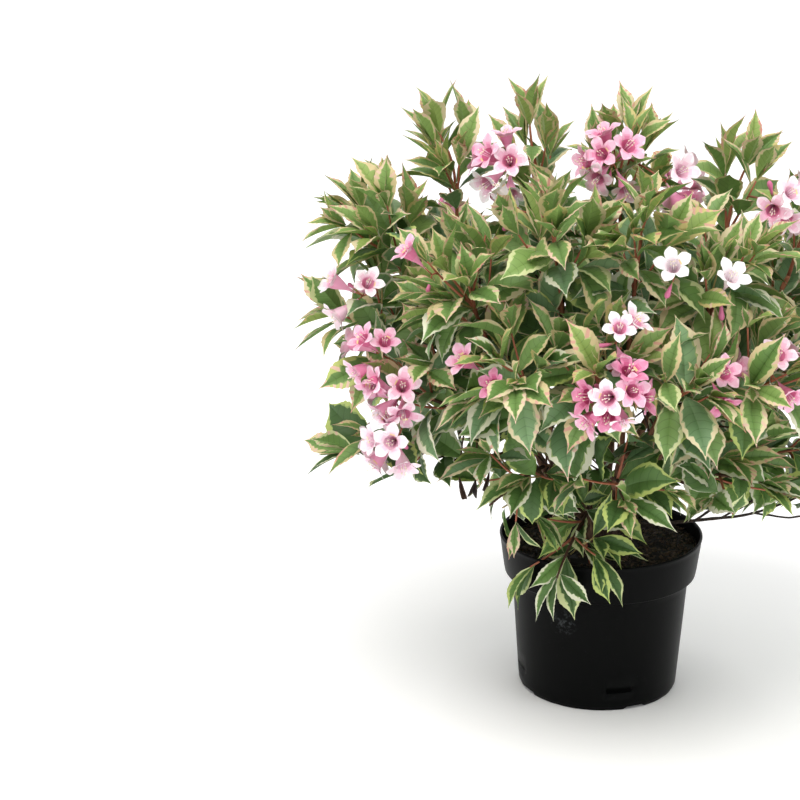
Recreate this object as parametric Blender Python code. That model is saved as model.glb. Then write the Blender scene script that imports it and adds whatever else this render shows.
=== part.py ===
"""Variegated weigela in its nursery pot: the shrub, its soil and the pot, in metres with +Z up.

The origin is the middle of the pot's flat underside. The shrub is seen from -Y, with +X to its right.
Stems rise from a woody stool. Each bough is one tapering limb that ends where it enters a mass of
leaves. Each mass grows by one seeded rule inside its own space: a leader with opposite pairs of
leaves and side shoots, every pair turned a quarter round from the last one.
"""

import math
import random
from typing import NamedTuple

import bpy
from mathutils import Matrix, Vector
from mathutils.bvhtree import BVHTree

# Clearance between solids that touch in real life
GAP = 0.0003
# Clearance of a leaf or twig from limbs, pot and neighbouring spaces
AIR = 0.0008

# Pot
POT_HEIGHT = 0.178
BASE_RADIUS = 0.0886
WALL_TOP_RADIUS = 0.0985
BAND_HEIGHT = 0.045
BAND_FOOT_RADIUS = 0.1066
RIM_RADIUS = 0.1124
WALL = 0.0022
FLOOR = 0.0025
POT_SIDES = 28

# Soil
SOIL_EDGE = 0.1600
SOIL_CROWN = 0.1655
SOIL_FLAT = 0.034

# Stool, the woody foot of the shrub
STOOL_FOOT = SOIL_CROWN + GAP
STOOL_FLARE = 0.0240
STOOL_WAIST = 0.0160
STOOL_HEIGHT = 0.0300
STUB_REACH = 0.0400
STUB_RADIUS = 0.0056
STUB_ROOT = STOOL_FOOT + 0.012
RING_LIFT = {"inner": 74.0, "outer": 42.0, "low": 12.0}
CENTRE_STUB = 262.0

# Dead twig that leans out over the rim
DEAD_AZIMUTH = 350.0
DEAD_LENGTH = 0.205
DEAD_RADIUS = 0.0022
DEAD_END = 0.0009
DEAD_FORKS = ((0.45, 26.0, 0.085), (0.62, -24.0, 0.075), (0.80, 30.0, 0.045))

# Limbs
MAIN_FOOT_RADIUS = 0.0050
SIDE_FOOT_RADIUS = 0.0033
TIP_RADIUS = 0.0024
LIMB_SIDES = 5
LIMB_STEPS = 5

# The squarish egg that the whole crown keeps to, and how far past a mass's own egg its leaves may reach
CROWN_MIDDLE = 0.40
CROWN_HALF_WIDTH = 0.340
CROWN_HALF_DEPTH = 0.318
CROWN_HALF_HEIGHT = 0.296
EGG_LIMIT = 1.15
# A leader starts at this share of the egg's half length behind its middle and is this many of them long,
# less a share of its last leaves
FOOT_SHARE = 0.80
LEADER_SHARE = 1.80
LEAF_SHARE = 0.60

# Growth of a mass
LEAVES_MOST = 20
TWIG_SIDES = 3
LEADER_RADIUS = 0.0024
SHOOT_RADIUS = 0.0018
TWIG_END = 0.0012
JOINT_STEP = 0.034
SHOOT_SHARE = 0.58
LEAF_LENGTH = 0.081
LEAF_WIDTH = 0.49
LEAF_THICK = 0.0011
LEAF_FOLD = 0.13
WIDEST = 0.42
RIB_PEAK = 0.30
# Leaf roots and flower roots stand this far off the middle of their twig, each on its own side
ROOT_OFF = 0.0001
# Most clear tries for one leaf, and how much shorter each try is
LEAF_TRIES = 9
LEAF_SHRINK = 0.045

# Blossom
FLOWER_ACROSS = 0.034
FLOWER_DEEP = 0.030
FLOWER_THROAT = 0.35
SPUR_END = 0.0014


class Mass(NamedTuple):
    """One mass of foliage: where its space lies, how big it is and what carries it."""

    name: str
    azimuth: float
    reach: float
    height: float
    across: float
    along: float
    lift: float
    carrier: str
    off_at: float
    sag: float


# Azimuth in degrees from +X (270 is the front), distances in metres, lift in degrees above level.
# The carrier is a ring of stubs on the stool, or the mass whose bough this bough leaves at a share
# of its length. Sag is how far the leaves hang.
MASSES = (
    Mass("spire_1", 164, 0.180, 0.583, 0.080, 0.085, 80, "inner", 0.00, 0.00),
    Mass("spire_2", 150, 0.095, 0.590, 0.076, 0.085, 86, "spire_3", 0.62, 0.00),
    Mass("spire_3", 0, 0.015, 0.590, 0.080, 0.085, 88, "inner", 0.00, 0.00),
    Mass("spire_4", 5, 0.140, 0.560, 0.084, 0.080, 78, "inner", 0.00, 0.00),
    Mass("spire_5", 6, 0.225, 0.525, 0.084, 0.080, 66, "outer", 0.00, 0.00),
    Mass("spire_6", 78, 0.130, 0.520, 0.100, 0.080, 74, "outer", 0.00, 0.00),
    Mass("shoulder_1", 177, 0.255, 0.510, 0.086, 0.082, 50, "outer", 0.00, 0.05),
    Mass("shoulder_2", 217, 0.200, 0.480, 0.090, 0.085, 58, "outer", 0.00, 0.05),
    Mass("shoulder_3", 243, 0.150, 0.535, 0.084, 0.082, 70, "shoulder_2", 0.60, 0.05),
    Mass("shoulder_4", 277, 0.150, 0.535, 0.086, 0.084, 70, "outer", 0.00, 0.05),
    Mass("shoulder_5", 310, 0.175, 0.500, 0.090, 0.084, 60, "outer", 0.00, 0.05),
    Mass("belt_1", 183, 0.262, 0.420, 0.088, 0.078, 24, "shoulder_1", 0.62, 0.14),
    Mass("belt_2", 205, 0.230, 0.365, 0.090, 0.080, 25, "shoulder_1", 0.42, 0.14),
    Mass("belt_3", 239, 0.205, 0.410, 0.092, 0.082, 38, "shoulder_2", 0.45, 0.14),
    Mass("belt_4", 263, 0.205, 0.415, 0.090, 0.080, 34, "shoulder_4", 0.55, 0.14),
    Mass("belt_5", 287, 0.212, 0.400, 0.090, 0.080, 34, "shoulder_4", 0.40, 0.14),
    Mass("belt_6", 312, 0.225, 0.400, 0.094, 0.080, 34, "shoulder_5", 0.50, 0.14),
    Mass("belt_7", 345, 0.250, 0.410, 0.098, 0.080, 30, "spire_5", 0.52, 0.14),
    Mass("belt_8", 26, 0.245, 0.410, 0.104, 0.084, 34, "spire_5", 0.62, 0.14),
    Mass("belt_9", 62, 0.235, 0.375, 0.106, 0.084, 30, "spire_6", 0.45, 0.14),
    Mass("belt_10", 102, 0.225, 0.400, 0.106, 0.084, 38, "spire_6", 0.62, 0.14),
    Mass("belt_11", 140, 0.240, 0.415, 0.106, 0.084, 36, "outer", 0.00, 0.14),
    Mass("skirt_1", 190, 0.248, 0.285, 0.080, 0.082, 4, "shoulder_1", 0.30, 0.30),
    Mass("skirt_2", 226, 0.160, 0.265, 0.080, 0.076, -14, "shoulder_2", 0.26, 0.30),
    Mass("skirt_3", 246, 0.108, 0.190, 0.082, 0.086, -22, "low", 0.00, 1.00),
    Mass("skirt_4", 272, 0.170, 0.285, 0.084, 0.076, 6, "shoulder_4", 0.24, 0.30),
    Mass("skirt_5", 314, 0.185, 0.285, 0.090, 0.080, 8, "shoulder_5", 0.28, 0.30),
    Mass("skirt_6", 356, 0.225, 0.275, 0.096, 0.084, 4, "spire_5", 0.30, 0.30),
)


class Bloom(NamedTuple):
    """One cluster of open flowers: where it shows and how many open there."""

    azimuth: float
    reach: float
    height: float
    flowers: int


BLOOMS = (
    Bloom(192, 0.141, 0.605, 4),
    Bloom(210, 0.139, 0.566, 1),
    Bloom(254, 0.062, 0.606, 4),
    Bloom(319, 0.092, 0.578, 2),
    Bloom(214, 0.233, 0.507, 1),
    Bloom(192, 0.286, 0.461, 2),
    Bloom(201, 0.276, 0.424, 3),
    Bloom(207, 0.265, 0.372, 3),
    Bloom(207, 0.265, 0.304, 4),
    Bloom(234, 0.236, 0.411, 1),
    Bloom(239, 0.232, 0.378, 1),
    Bloom(266, 0.251, 0.401, 5),
    Bloom(270, 0.230, 0.469, 2),
    Bloom(300, 0.220, 0.500, 1),
    Bloom(286, 0.209, 0.508, 1),
    Bloom(298, 0.227, 0.406, 2),
    Bloom(310, 0.235, 0.430, 2),
    Bloom(335, 0.191, 0.568, 3),
    Bloom(20, 0.280, 0.500, 3),
    Bloom(60, 0.200, 0.530, 3),
    Bloom(85, 0.270, 0.440, 3),
    Bloom(125, 0.260, 0.470, 4),
    Bloom(155, 0.280, 0.400, 3),
    Bloom(0, 0.290, 0.330, 2),
)


def polar(azimuth: float, reach: float, height: float) -> Vector:
    """The point at an azimuth in degrees, a distance from the axis and a height."""
    turn = math.radians(azimuth)
    return Vector((reach * math.cos(turn), reach * math.sin(turn), height))


def heading(azimuth: float, lift: float) -> Vector:
    """The unit direction at an azimuth and a lift above level, both in degrees."""
    rise = math.radians(lift)
    return polar(azimuth, math.cos(rise), math.sin(rise))


def square_to(direction: Vector, near: Vector) -> Vector:
    """The unit vector square to a direction that lies nearest another vector."""
    side = near - direction * near.dot(direction)
    if side.length < 1e-4:
        side = direction.orthogonal()
    return side.normalized()


def bezier(start: Vector, start_way: Vector, end: Vector, end_way: Vector, share: float) -> Vector:
    """A point on the curve that leaves start along start_way and reaches end along end_way."""
    pull = (end - start).length * 0.38
    a, b, c, d = start, start + start_way * pull, end - end_way * pull, end
    s = 1.0 - share
    return a * s**3 + b * 3 * s * s * share + c * 3 * s * share**2 + d * share**3


def mesh_object(name: str, points: list, faces: list) -> bpy.types.Object:
    """An object in the scene whose mesh has these points and faces."""
    mesh = bpy.data.meshes.new(name)
    mesh.from_pydata([tuple(p) for p in points], [], faces)
    mesh.validate()
    piece = bpy.data.objects.new(name, mesh)
    bpy.context.scene.collection.objects.link(piece)
    return piece


def rod_shape(path: list, radii: list, sides: int, grow: float = 0.0, ends: tuple = (None, None)) -> tuple:
    """Points and faces of a closed tapering rod, widened by grow, with flat ends square to ends."""
    points = []
    across = square_to((path[1] - path[0]).normalized(), Vector((0.31, 0.22, 1.0)))
    last = len(path) - 1
    for step, centre in enumerate(path):
        before = path[max(step - 1, 0)]
        after = path[min(step + 1, last)]
        way = (after - before).normalized()
        if step == 0 and ends[0]:
            way = ends[0]
        if step == last and ends[1]:
            way = ends[1]
        across = square_to(way, across)
        other = way.cross(across)
        radius = radii[step] + grow
        shift = way * (-grow if step == 0 else grow if step == last else 0.0)
        for corner in range(sides):
            turn = 2 * math.pi * corner / sides
            spoke = across * math.cos(turn) + other * math.sin(turn)
            points.append(centre + shift + spoke * radius)
    faces = [tuple(range(sides - 1, -1, -1))]
    for step in range(last):
        low, high = step * sides, (step + 1) * sides
        for corner in range(sides):
            after = (corner + 1) % sides
            faces.append((low + corner, low + after, high + after, high + corner))
    faces.append(tuple(range(last * sides, (last + 1) * sides)))
    return points, faces


def leaf_shape(root: Vector, way: Vector, upper: Vector, length: float, width: float) -> tuple:
    """Points and faces of a folded leaf: a pointed root, two raised edges, a tip and a midrib."""
    side = way.cross(upper)
    broad = root + way * (length * WIDEST)
    lift = upper * (width * LEAF_FOLD)
    rib = root + way * (length * RIB_PEAK)
    points = [
        root,
        broad + side * (width / 2) + lift,
        root + way * length,
        broad - side * (width / 2) + lift,
        rib + upper * (LEAF_THICK / 2),
        rib - upper * (LEAF_THICK / 2),
    ]
    faces = []
    for corner in range(4):
        after = (corner + 1) % 4
        faces.append((corner, after, 4))
        faces.append((after, corner, 5))
    return points, faces


def flower_shape(root: Vector, way: Vector, across: float, deep: float) -> tuple:
    """Points and faces of an open flower: a funnel with five lobes and a sunken throat."""
    side = square_to(way, Vector((0.0, 0.0, 1.0)))
    other = way.cross(side)
    points = [root]
    for lobe in range(5):
        turn = 2 * math.pi * lobe / 5
        points.append(root + way * deep + (side * math.cos(turn) + other * math.sin(turn)) * (across / 2))
    points.append(root + way * (deep * FLOWER_THROAT))
    faces = []
    for lobe in range(5):
        after = (lobe + 1) % 5
        faces.append((0, after + 1, lobe + 1))
        faces.append((6, lobe + 1, after + 1))
    return points, faces


def tree_of(shape: tuple) -> BVHTree:
    """The search tree of a shape's faces."""
    points, faces = shape
    return BVHTree.FromPolygons([tuple(p) for p in points], faces)


class Obstacles:
    """Widened limbs and the pot, which no leaf or twig may touch."""

    def __init__(self) -> None:
        self.trees: dict = {}

    def add(self, name: str, shape: tuple) -> None:
        """Keeps a widened shape under a name."""
        self.trees[name] = tree_of(shape)

    def touched(self, shape: tuple, but: tuple = ()) -> bool:
        """Whether a shape touches any obstacle except the named ones."""
        own = tree_of(shape)
        return any(own.overlap(tree) for name, tree in self.trees.items() if name not in but)


def turned_shape(profile: list, sides: int) -> tuple:
    """Points and faces of a body turned round Z from its outline, which runs from axis to axis."""
    ring_rows = profile[1:-1]
    points = [Vector((0.0, 0.0, profile[0][1]))]
    for radius, height in ring_rows:
        for corner in range(sides):
            turn = 2 * math.pi * (corner + 0.5) / sides
            points.append(Vector((radius * math.cos(turn), radius * math.sin(turn), height)))
    points.append(Vector((0.0, 0.0, profile[-1][1])))
    faces = []
    last_ring = 1 + (len(ring_rows) - 1) * sides
    for corner in range(sides):
        after = (corner + 1) % sides
        faces.append((0, 1 + after, 1 + corner))
        for row in range(len(ring_rows) - 1):
            low, high = 1 + row * sides, 1 + (row + 1) * sides
            faces.append((low + corner, low + after, high + after, high + corner))
        faces.append((last_ring + corner, last_ring + after, len(points) - 1))
    return points, faces


def finish(piece: bpy.types.Object, name: str, colour: tuple, roughness: float) -> None:
    """Gives a piece its own named material."""
    material = bpy.data.materials.new(name)
    material.use_nodes = True
    shader = material.node_tree.nodes["Principled BSDF"]
    shader.inputs["Base Color"].default_value = (*colour, 1.0)
    shader.inputs["Roughness"].default_value = roughness
    shader.inputs["Metallic"].default_value = 0.0
    piece.data.materials.clear()
    piece.data.materials.append(material)


def fused(name: str, shapes: list) -> bpy.types.Object:
    """One closed body: the union of the first shape with all the others."""
    host = mesh_object(name, *shapes[0])
    bits = bpy.data.collections.new(name + "_bits")
    bpy.context.scene.collection.children.link(bits)
    for shape in shapes[1:]:
        bit = mesh_object(name + "_bit", *shape)
        bpy.context.scene.collection.objects.unlink(bit)
        bits.objects.link(bit)
    union = host.modifiers.new("Fuse", "BOOLEAN")
    union.operation = "UNION"
    union.operand_type = "COLLECTION"
    union.collection = bits
    union.solver = "EXACT"
    host_now = host.evaluated_get(bpy.context.evaluated_depsgraph_get())
    joined = bpy.data.meshes.new_from_object(host_now)
    host.modifiers.clear()
    host.data = joined
    for bit in list(bits.objects):
        bpy.data.objects.remove(bit, do_unlink=True)
    bpy.data.collections.remove(bits)
    keep_main_body(joined)
    return host


def keep_main_body(mesh: bpy.types.Mesh) -> None:
    """Drops every loose scrap and sealed hollow, which leaves the body with the most faces."""
    neighbours: dict = {}
    for face in mesh.polygons:
        for corner in face.vertices:
            neighbours.setdefault(corner, []).append(face.index)
    seen: set = set()
    bodies = []
    for face in mesh.polygons:
        if face.index in seen:
            continue
        body, waiting = [], [face.index]
        seen.add(face.index)
        while waiting:
            index = waiting.pop()
            body.append(index)
            for corner in mesh.polygons[index].vertices:
                for other in neighbours[corner]:
                    if other not in seen:
                        seen.add(other)
                        waiting.append(other)
        bodies.append(body)
    if len(bodies) < 2:
        return
    main = set(max(bodies, key=len))
    points = [v.co.copy() for v in mesh.vertices]
    faces = [tuple(f.vertices) for f in mesh.polygons if f.index in main]
    used = sorted({corner for face in faces for corner in face})
    place = {corner: row for row, corner in enumerate(used)}
    mesh.clear_geometry()
    mesh.from_pydata([points[c] for c in used], [], [tuple(place[c] for c in f) for f in faces])


class Limb(NamedTuple):
    """A bough's centre line, its thickness along it and the directions its flat ends face."""

    path: list
    radii: list
    ends: tuple

    def shape(self, grow: float = 0.0) -> tuple:
        """Points and faces of the bough, widened by grow."""
        return rod_shape(self.path, self.radii, LIMB_SIDES, grow, self.ends)

    def at(self, share: float) -> tuple:
        """The point, direction and radius at a share of the limb's length."""
        spot = share * (len(self.path) - 1)
        step = min(int(spot), len(self.path) - 2)
        part = spot - step
        point = self.path[step].lerp(self.path[step + 1], part)
        way = (self.path[step + 1] - self.path[step]).normalized()
        radius = self.radii[step] * (1 - part) + self.radii[step + 1] * part
        return point, way, radius


def space_centre(mass: Mass) -> Vector:
    """The middle of a mass's space."""
    return polar(mass.azimuth, mass.reach, mass.height)


def space_axis(mass: Mass) -> Vector:
    """The direction in which a mass's leader grows."""
    return heading(mass.azimuth, mass.lift)


def foot_of(mass: Mass) -> Vector:
    """Where a bough ends and its mass's leader begins."""
    return space_centre(mass) - space_axis(mass) * (mass.along * FOOT_SHARE)


def stub_of(mass: Mass) -> tuple:
    """The end and direction of the stub on the stool that carries a mass's bough."""
    return stub_at(mass.azimuth if mass.reach > 0.05 else CENTRE_STUB, RING_LIFT[mass.carrier])


def stub_at(azimuth: float, lift: float) -> tuple:
    """The end and direction of a stub that leaves the stool at an azimuth and a lift."""
    way = heading(azimuth, lift)
    return Vector((0.0, 0.0, STUB_ROOT)) + way * STUB_REACH, way


def limb_between(start: Vector, way: Vector, mass: Mass, foot_radius: float, bow: Vector) -> Limb:
    """The bough from a start to the foot of a mass, bowed sideways by a vector."""
    path = []
    end = foot_of(mass)
    for step in range(LIMB_STEPS + 1):
        share = step / LIMB_STEPS
        point = bezier(start, way, end, space_axis(mass), share)
        path.append(point + bow * math.sin(math.pi * share) ** 2)
    shares = [step / LIMB_STEPS for step in range(LIMB_STEPS + 1)]
    radii = [foot_radius + (TIP_RADIUS - foot_radius) * share**0.8 for share in shares]
    return Limb(path, radii, (way, space_axis(mass)))


def bows(rng: random.Random) -> list:
    """Sideways bows to try for a limb, smallest first."""
    tries = [Vector((0.0, 0.0, 0.0))]
    for size in (0.008, 0.014, 0.020, 0.028, 0.036):
        for _ in range(8):
            tries.append(Vector((rng.uniform(-1, 1), rng.uniform(-1, 1), rng.uniform(-1, 1))) * size)
    return tries


def grow_limbs(obstacles: Obstacles) -> dict:
    """All boughs by mass, each clear of the ones before it."""
    limbs: dict = {}
    bare: dict = {}
    rng = random.Random(11)
    waiting = sorted(MASSES, key=lambda m: m.carrier not in RING_LIFT)
    for mass in waiting:
        for bow in bows(rng):
            if mass.carrier in RING_LIFT:
                end, way = stub_of(mass)
                limb = limb_between(end + way * GAP, way, mass, MAIN_FOOT_RADIUS, bow)
                beside = ()
            else:
                spot, along, radius = limbs[mass.carrier].at(mass.off_at)
                out = square_to(along, foot_of(mass) - spot)
                limb = limb_between(spot + out * (radius + GAP), out, mass, SIDE_FOOT_RADIUS, bow)
                beside = (mass.carrier,)
            shape = limb.shape()
            beyond = rod_shape(limb.path[1:], limb.radii[1:], LIMB_SIDES)
            if obstacles.touched(shape, beside) or obstacles.touched(beyond):
                continue
            if mass.carrier in RING_LIFT or not tree_of(shape).overlap(bare[mass.carrier]):
                break
        else:
            print("no clear way for the bough of", mass.name)
        limbs[mass.name] = limb
        bare[mass.name] = tree_of(shape)
        obstacles.add(mass.name, limb.shape(AIR))
    return limbs


class Space:
    """The room that one mass keeps to: an egg round its centre, cut by planes to its neighbours."""

    def __init__(self, mass: Mass) -> None:
        self.mass = mass
        self.centre = space_centre(mass)
        self.axis = space_axis(mass)
        self.planes = []
        for other in MASSES:
            if other.name == mass.name:
                continue
            apart = space_centre(other) - self.centre
            length = apart.length
            limit = (length**2 + mass.across**2 - other.across**2) / (2 * length)
            self.planes.append((apart / length, limit - AIR))

    def holds(self, point: Vector) -> bool:
        """Whether a point lies in the space."""
        away = point - self.centre
        along = away.dot(self.axis)
        across = (away - self.axis * along).length
        if (along / self.mass.along) ** 2 + (across / self.mass.across) ** 2 > EGG_LIMIT:
            return False
        wide, deep = abs(point.x) / CROWN_HALF_WIDTH, abs(point.y) / CROWN_HALF_DEPTH
        high = abs(point.z - CROWN_MIDDLE) / CROWN_HALF_HEIGHT
        if wide**3 + deep**3 + high**3 > 1.0:
            return False
        return all(away.dot(way) < limit for way, limit in self.planes)

    def holds_all(self, points: list) -> bool:
        """Whether every point lies in the space."""
        return all(self.holds(point) for point in points)


class Joint(NamedTuple):
    """A place on a twig where one leaf grows."""

    root: Vector
    shoot: Vector
    side: Vector
    share: float
    twig: int


class Growth:
    """The solids of one mass while it grows: twigs first, then blossom, then leaves."""

    def __init__(self, mass: Mass, limb: Limb, obstacles: Obstacles) -> None:
        self.mass = mass
        self.space = Space(mass)
        self.foot = limb.path[-1] + self.space.axis * GAP
        self.obstacles = obstacles
        self.rng = random.Random(mass.name)
        self.shapes: list = []
        self.twigs: list = []
        self.trees: list = []
        self.joints: list = []

    def keep(self, shape: tuple) -> None:
        """Adds a solid to the mass and to what its later leaves keep clear of."""
        self.shapes.append(shape)
        self.trees.append(tree_of(shape))

    def clear(self, shape: tuple, but: int) -> bool:
        """Whether a solid stays in the space and touches nothing but the twig that carries it."""
        if not self.space.holds_all(shape[0]) or self.obstacles.touched(shape):
            return False
        own = tree_of(shape)
        return not any(own.overlap(tree) for number, tree in enumerate(self.trees) if number != but)

    def leader(self) -> None:
        """The main shoot, from the bough's tip out to short of the space's far end."""
        axis = self.space.axis
        length = self.mass.along * LEADER_SHARE - LEAF_LENGTH * LEAF_SHARE
        bow = square_to(axis, Vector((0.0, 0.0, 1.0))) * (length * 0.05)
        path = [self.foot, self.foot + axis * (length * 0.5) + bow, self.foot + axis * length]
        self.twigs.append(path)
        radii = [LEADER_RADIUS, LEADER_RADIUS * 0.8, TWIG_END]
        self.keep(rod_shape(path, radii, TWIG_SIDES, 0.0, (axis, axis)))
        joints = max(4, round(length / JOINT_STEP) + 1)
        turn = self.rng.uniform(0.0, math.pi)
        across = square_to(axis, Vector((0.0, 0.0, 1.0)))
        for number in range(1, joints + 1):
            share = (number - 0.30) / joints
            spot = along_path(path, share)
            side = Matrix.Rotation(turn + math.pi / 2 * number, 3, axis) @ across
            for sign in (1, -1):
                root = spot + axis * (sign * 0.0009)
                if share < SHOOT_SHARE:
                    self.side_shoot(root, axis, side * sign, 1.0 - share)
                else:
                    self.joints.append(Joint(root, axis, side * sign, share, 0))
        tip_side = Matrix.Rotation(turn + math.pi / 2 * (joints + 1), 3, axis) @ across
        for sign in (1, -1):
            self.joints.append(Joint(path[-1] - axis * 0.0010, axis, tip_side * sign, 1.3, 0))

    def side_shoot(self, root: Vector, parent: Vector, side: Vector, vigour: float) -> None:
        """A side shoot with a pair of leaves at its middle and two pairs at its tip."""
        for attempt in range(5):
            angle = math.radians(self.rng.uniform(44, 62))
            way = parent * math.cos(angle) + side * math.sin(angle)
            rise = self.rng.uniform(-0.05, 0.25) - self.mass.sag * 0.4
            way = (way + Vector((0.0, 0.0, rise))).normalized()
            length = self.mass.across * self.rng.uniform(0.50, 0.72) * (0.80 + 0.4 * vigour)
            length *= 1 - 0.12 * attempt
            path = [root, root + way * length]
            shape = rod_shape(path, [SHOOT_RADIUS, TWIG_END], TWIG_SIDES)
            if self.clear(shape, 0):
                break
        else:
            self.joints.append(Joint(root, parent, side, 0.45, 0))
            return
        number = len(self.twigs)
        self.twigs.append(path)
        self.keep(shape)
        turn = self.rng.uniform(0.0, math.pi)
        across = square_to(way, Vector((0.0, 0.0, 1.0)))
        for rank, (spot, share) in enumerate(((0.50, 0.55), (0.86, 0.85), (0.98, 1.20))):
            pair = Matrix.Rotation(turn + math.pi / 2 * rank, 3, way) @ across
            for sign in (1, -1):
                point = path[0].lerp(path[1], spot) + way * (sign * 0.0006 - 0.0006)
                self.joints.append(Joint(point, way, pair * sign, share, number))

    def grow_leaves(self) -> None:
        """A leaf at every joint that has room for it, the outermost first."""
        grown = 0
        for joint in sorted(self.joints, key=lambda j: -j.share):
            grown += self.leaf(joint)
            if grown == LEAVES_MOST:
                return

    def leaf(self, joint: Joint) -> bool:
        """One leaf, tried at a few angles and sizes until it is clear of the rest."""
        size = LEAF_LENGTH * min(1.0, 1.42 - 0.55 * joint.share) * self.rng.uniform(0.90, 1.06)
        opening = 70 - 44 * min(joint.share, 1.2)
        for attempt in range(LEAF_TRIES):
            angle = math.radians(opening + self.rng.uniform(-8, 8) * (1 + attempt * 0.5))
            skew = Matrix.Rotation(self.rng.uniform(-0.22, 0.22) * (1 + attempt * 0.6), 3, joint.shoot)
            side = skew @ joint.side
            way = joint.shoot * math.cos(angle) + side * math.sin(angle)
            way = (way - Vector((0.0, 0.0, self.mass.sag))).normalized()
            length = size * (1 - LEAF_SHRINK * attempt)
            upper = square_to(way, joint.shoot + Vector((0.0, 0.0, 0.6)))
            shape = leaf_shape(joint.root + side * ROOT_OFF, way, upper, length, length * LEAF_WIDTH)
            if self.clear(shape, joint.twig):
                self.keep(shape)
                return True
        return False

    def bloom(self, at: Vector, flowers: int) -> None:
        """A spur from the nearest twig with a fan of open flowers at its end."""
        for inward in range(6):
            spot = at.lerp(self.space.centre, 0.1 * inward)
            roots = [(n, along_path(t, s)) for n, t in enumerate(self.twigs) for s in (0.3, 0.55, 0.7)]
            number, root = min(roots, key=lambda pair: (pair[1] - spot).length)
            way = (spot - root).normalized()
            reach = max((spot - root).length - FLOWER_DEEP, 0.010)
            end = root + way * reach
            spur = rod_shape([root, end], [SHOOT_RADIUS, SPUR_END], TWIG_SIDES)
            out = (way + self.space.axis * 0.5 + heading(270, 10) * 0.35).normalized()
            fan = flower_fan(end - way * 0.0008, out, flowers)
            if self.clear(spur, number) and all(self.clear(flower, number) for flower in fan):
                self.keep(spur)
                for flower in fan:
                    self.keep(flower)
                return


def flower_fan(end: Vector, out: Vector, flowers: int) -> list:
    """Open flowers that fan out from the end of a spur, one in the middle where there are four or more."""
    across = square_to(out, Vector((0.0, 0.0, 1.0)))
    middle = 1 if flowers >= 4 or flowers == 1 else 0
    ring = flowers - middle
    tilt = math.radians(62 if middle else 39)
    ways = [out] * middle
    for number in range(ring):
        side = Matrix.Rotation(2 * math.pi * number / ring + 0.5, 3, out) @ across
        ways.append(out * math.cos(tilt) + side * math.sin(tilt))
    return [flower_shape(end + way * ROOT_OFF, way, FLOWER_ACROSS, FLOWER_DEEP) for way in ways]


def along_path(path: list, share: float) -> Vector:
    """The point at a share of a path's steps."""
    spot = min(max(share, 0.0), 0.9999) * (len(path) - 1)
    step = int(spot)
    return path[step].lerp(path[step + 1], spot - step)


def pot_outline() -> list:
    """The pot's section from the middle of its underside, up outside and down inside to its floor."""
    step_height = POT_HEIGHT - BAND_HEIGHT
    lip = 0.0015
    return [
        (0.0, 0.0),
        (BASE_RADIUS - 0.0016, 0.0),
        (BASE_RADIUS, 0.004),
        (WALL_TOP_RADIUS, step_height),
        (BAND_FOOT_RADIUS - 0.002, step_height + 0.001),
        (BAND_FOOT_RADIUS, step_height + 0.005),
        (RIM_RADIUS, POT_HEIGHT - lip),
        (RIM_RADIUS - 0.0006, POT_HEIGHT),
        (RIM_RADIUS - WALL, POT_HEIGHT),
        (BAND_FOOT_RADIUS - WALL, step_height + 0.006),
        (WALL_TOP_RADIUS - WALL, step_height - 0.001),
        (BASE_RADIUS - WALL, FLOOR),
        (0.0, FLOOR),
    ]


def soil_outline() -> list:
    """The soil's section: it fills the pot a hair clear of its walls, to below the rim."""
    step_height = POT_HEIGHT - BAND_HEIGHT
    clear = GAP * 1.5
    slope = (RIM_RADIUS - BAND_FOOT_RADIUS) / (BAND_HEIGHT - 0.006)
    edge_radius = BAND_FOOT_RADIUS - WALL - clear + slope * (SOIL_EDGE - step_height - 0.006)
    return [
        (0.0, FLOOR + GAP),
        (BASE_RADIUS - WALL - clear, FLOOR + GAP),
        (WALL_TOP_RADIUS - WALL - clear, step_height - 0.001 + clear),
        (BAND_FOOT_RADIUS - WALL - clear, step_height + 0.006 + clear),
        (edge_radius, SOIL_EDGE),
        (SOIL_FLAT, SOIL_CROWN),
        (0.0, SOIL_CROWN),
    ]


def room_of_pot() -> tuple:
    """A body a little wider than the pot and its soil, for leaves and twigs to keep clear of."""
    step_height = POT_HEIGHT - BAND_HEIGHT
    return turned_shape(
        [
            (0.0, -AIR),
            (BASE_RADIUS + AIR, -AIR),
            (WALL_TOP_RADIUS + AIR, step_height - AIR),
            (BAND_FOOT_RADIUS + AIR, step_height - AIR),
            (RIM_RADIUS + AIR, POT_HEIGHT - 0.002),
            (RIM_RADIUS + AIR, POT_HEIGHT + AIR),
            (RIM_RADIUS - WALL - AIR, POT_HEIGHT + AIR),
            (RIM_RADIUS - WALL - 0.003, SOIL_EDGE + AIR),
            (SOIL_FLAT, SOIL_CROWN + AIR),
            (0.0, SOIL_CROWN + AIR),
        ],
        POT_SIDES,
    )


def stool_shapes(grow: float) -> list:
    """The stool's trunk and its stubs, widened by grow."""
    trunk = turned_shape(
        [
            (0.0, STOOL_FOOT),
            (STOOL_FLARE + grow, STOOL_FOOT),
            (STOOL_FLARE * 0.80 + grow, STOOL_FOOT + STOOL_HEIGHT * 0.22),
            (STOOL_WAIST + grow, STOOL_FOOT + STOOL_HEIGHT * 0.60),
            (STOOL_WAIST * 0.72 + grow, STOOL_FOOT + STOOL_HEIGHT + grow),
            (0.0, STOOL_FOOT + STOOL_HEIGHT * 1.1 + grow),
        ],
        8,
    )
    ends = [stub_of(mass) for mass in MASSES if mass.carrier in RING_LIFT]
    ends.append(stub_at(DEAD_AZIMUTH, RING_LIFT["low"]))
    root = Vector((0.0, 0.0, STUB_ROOT))
    stubs = []
    for end, way in ends:
        radii = [STUB_RADIUS * 1.15 + grow, STUB_RADIUS * 0.92]
        stubs.append(rod_shape([root + way * 0.006, end], radii, LIMB_SIDES, 0.0))
    return [trunk] + stubs


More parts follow.
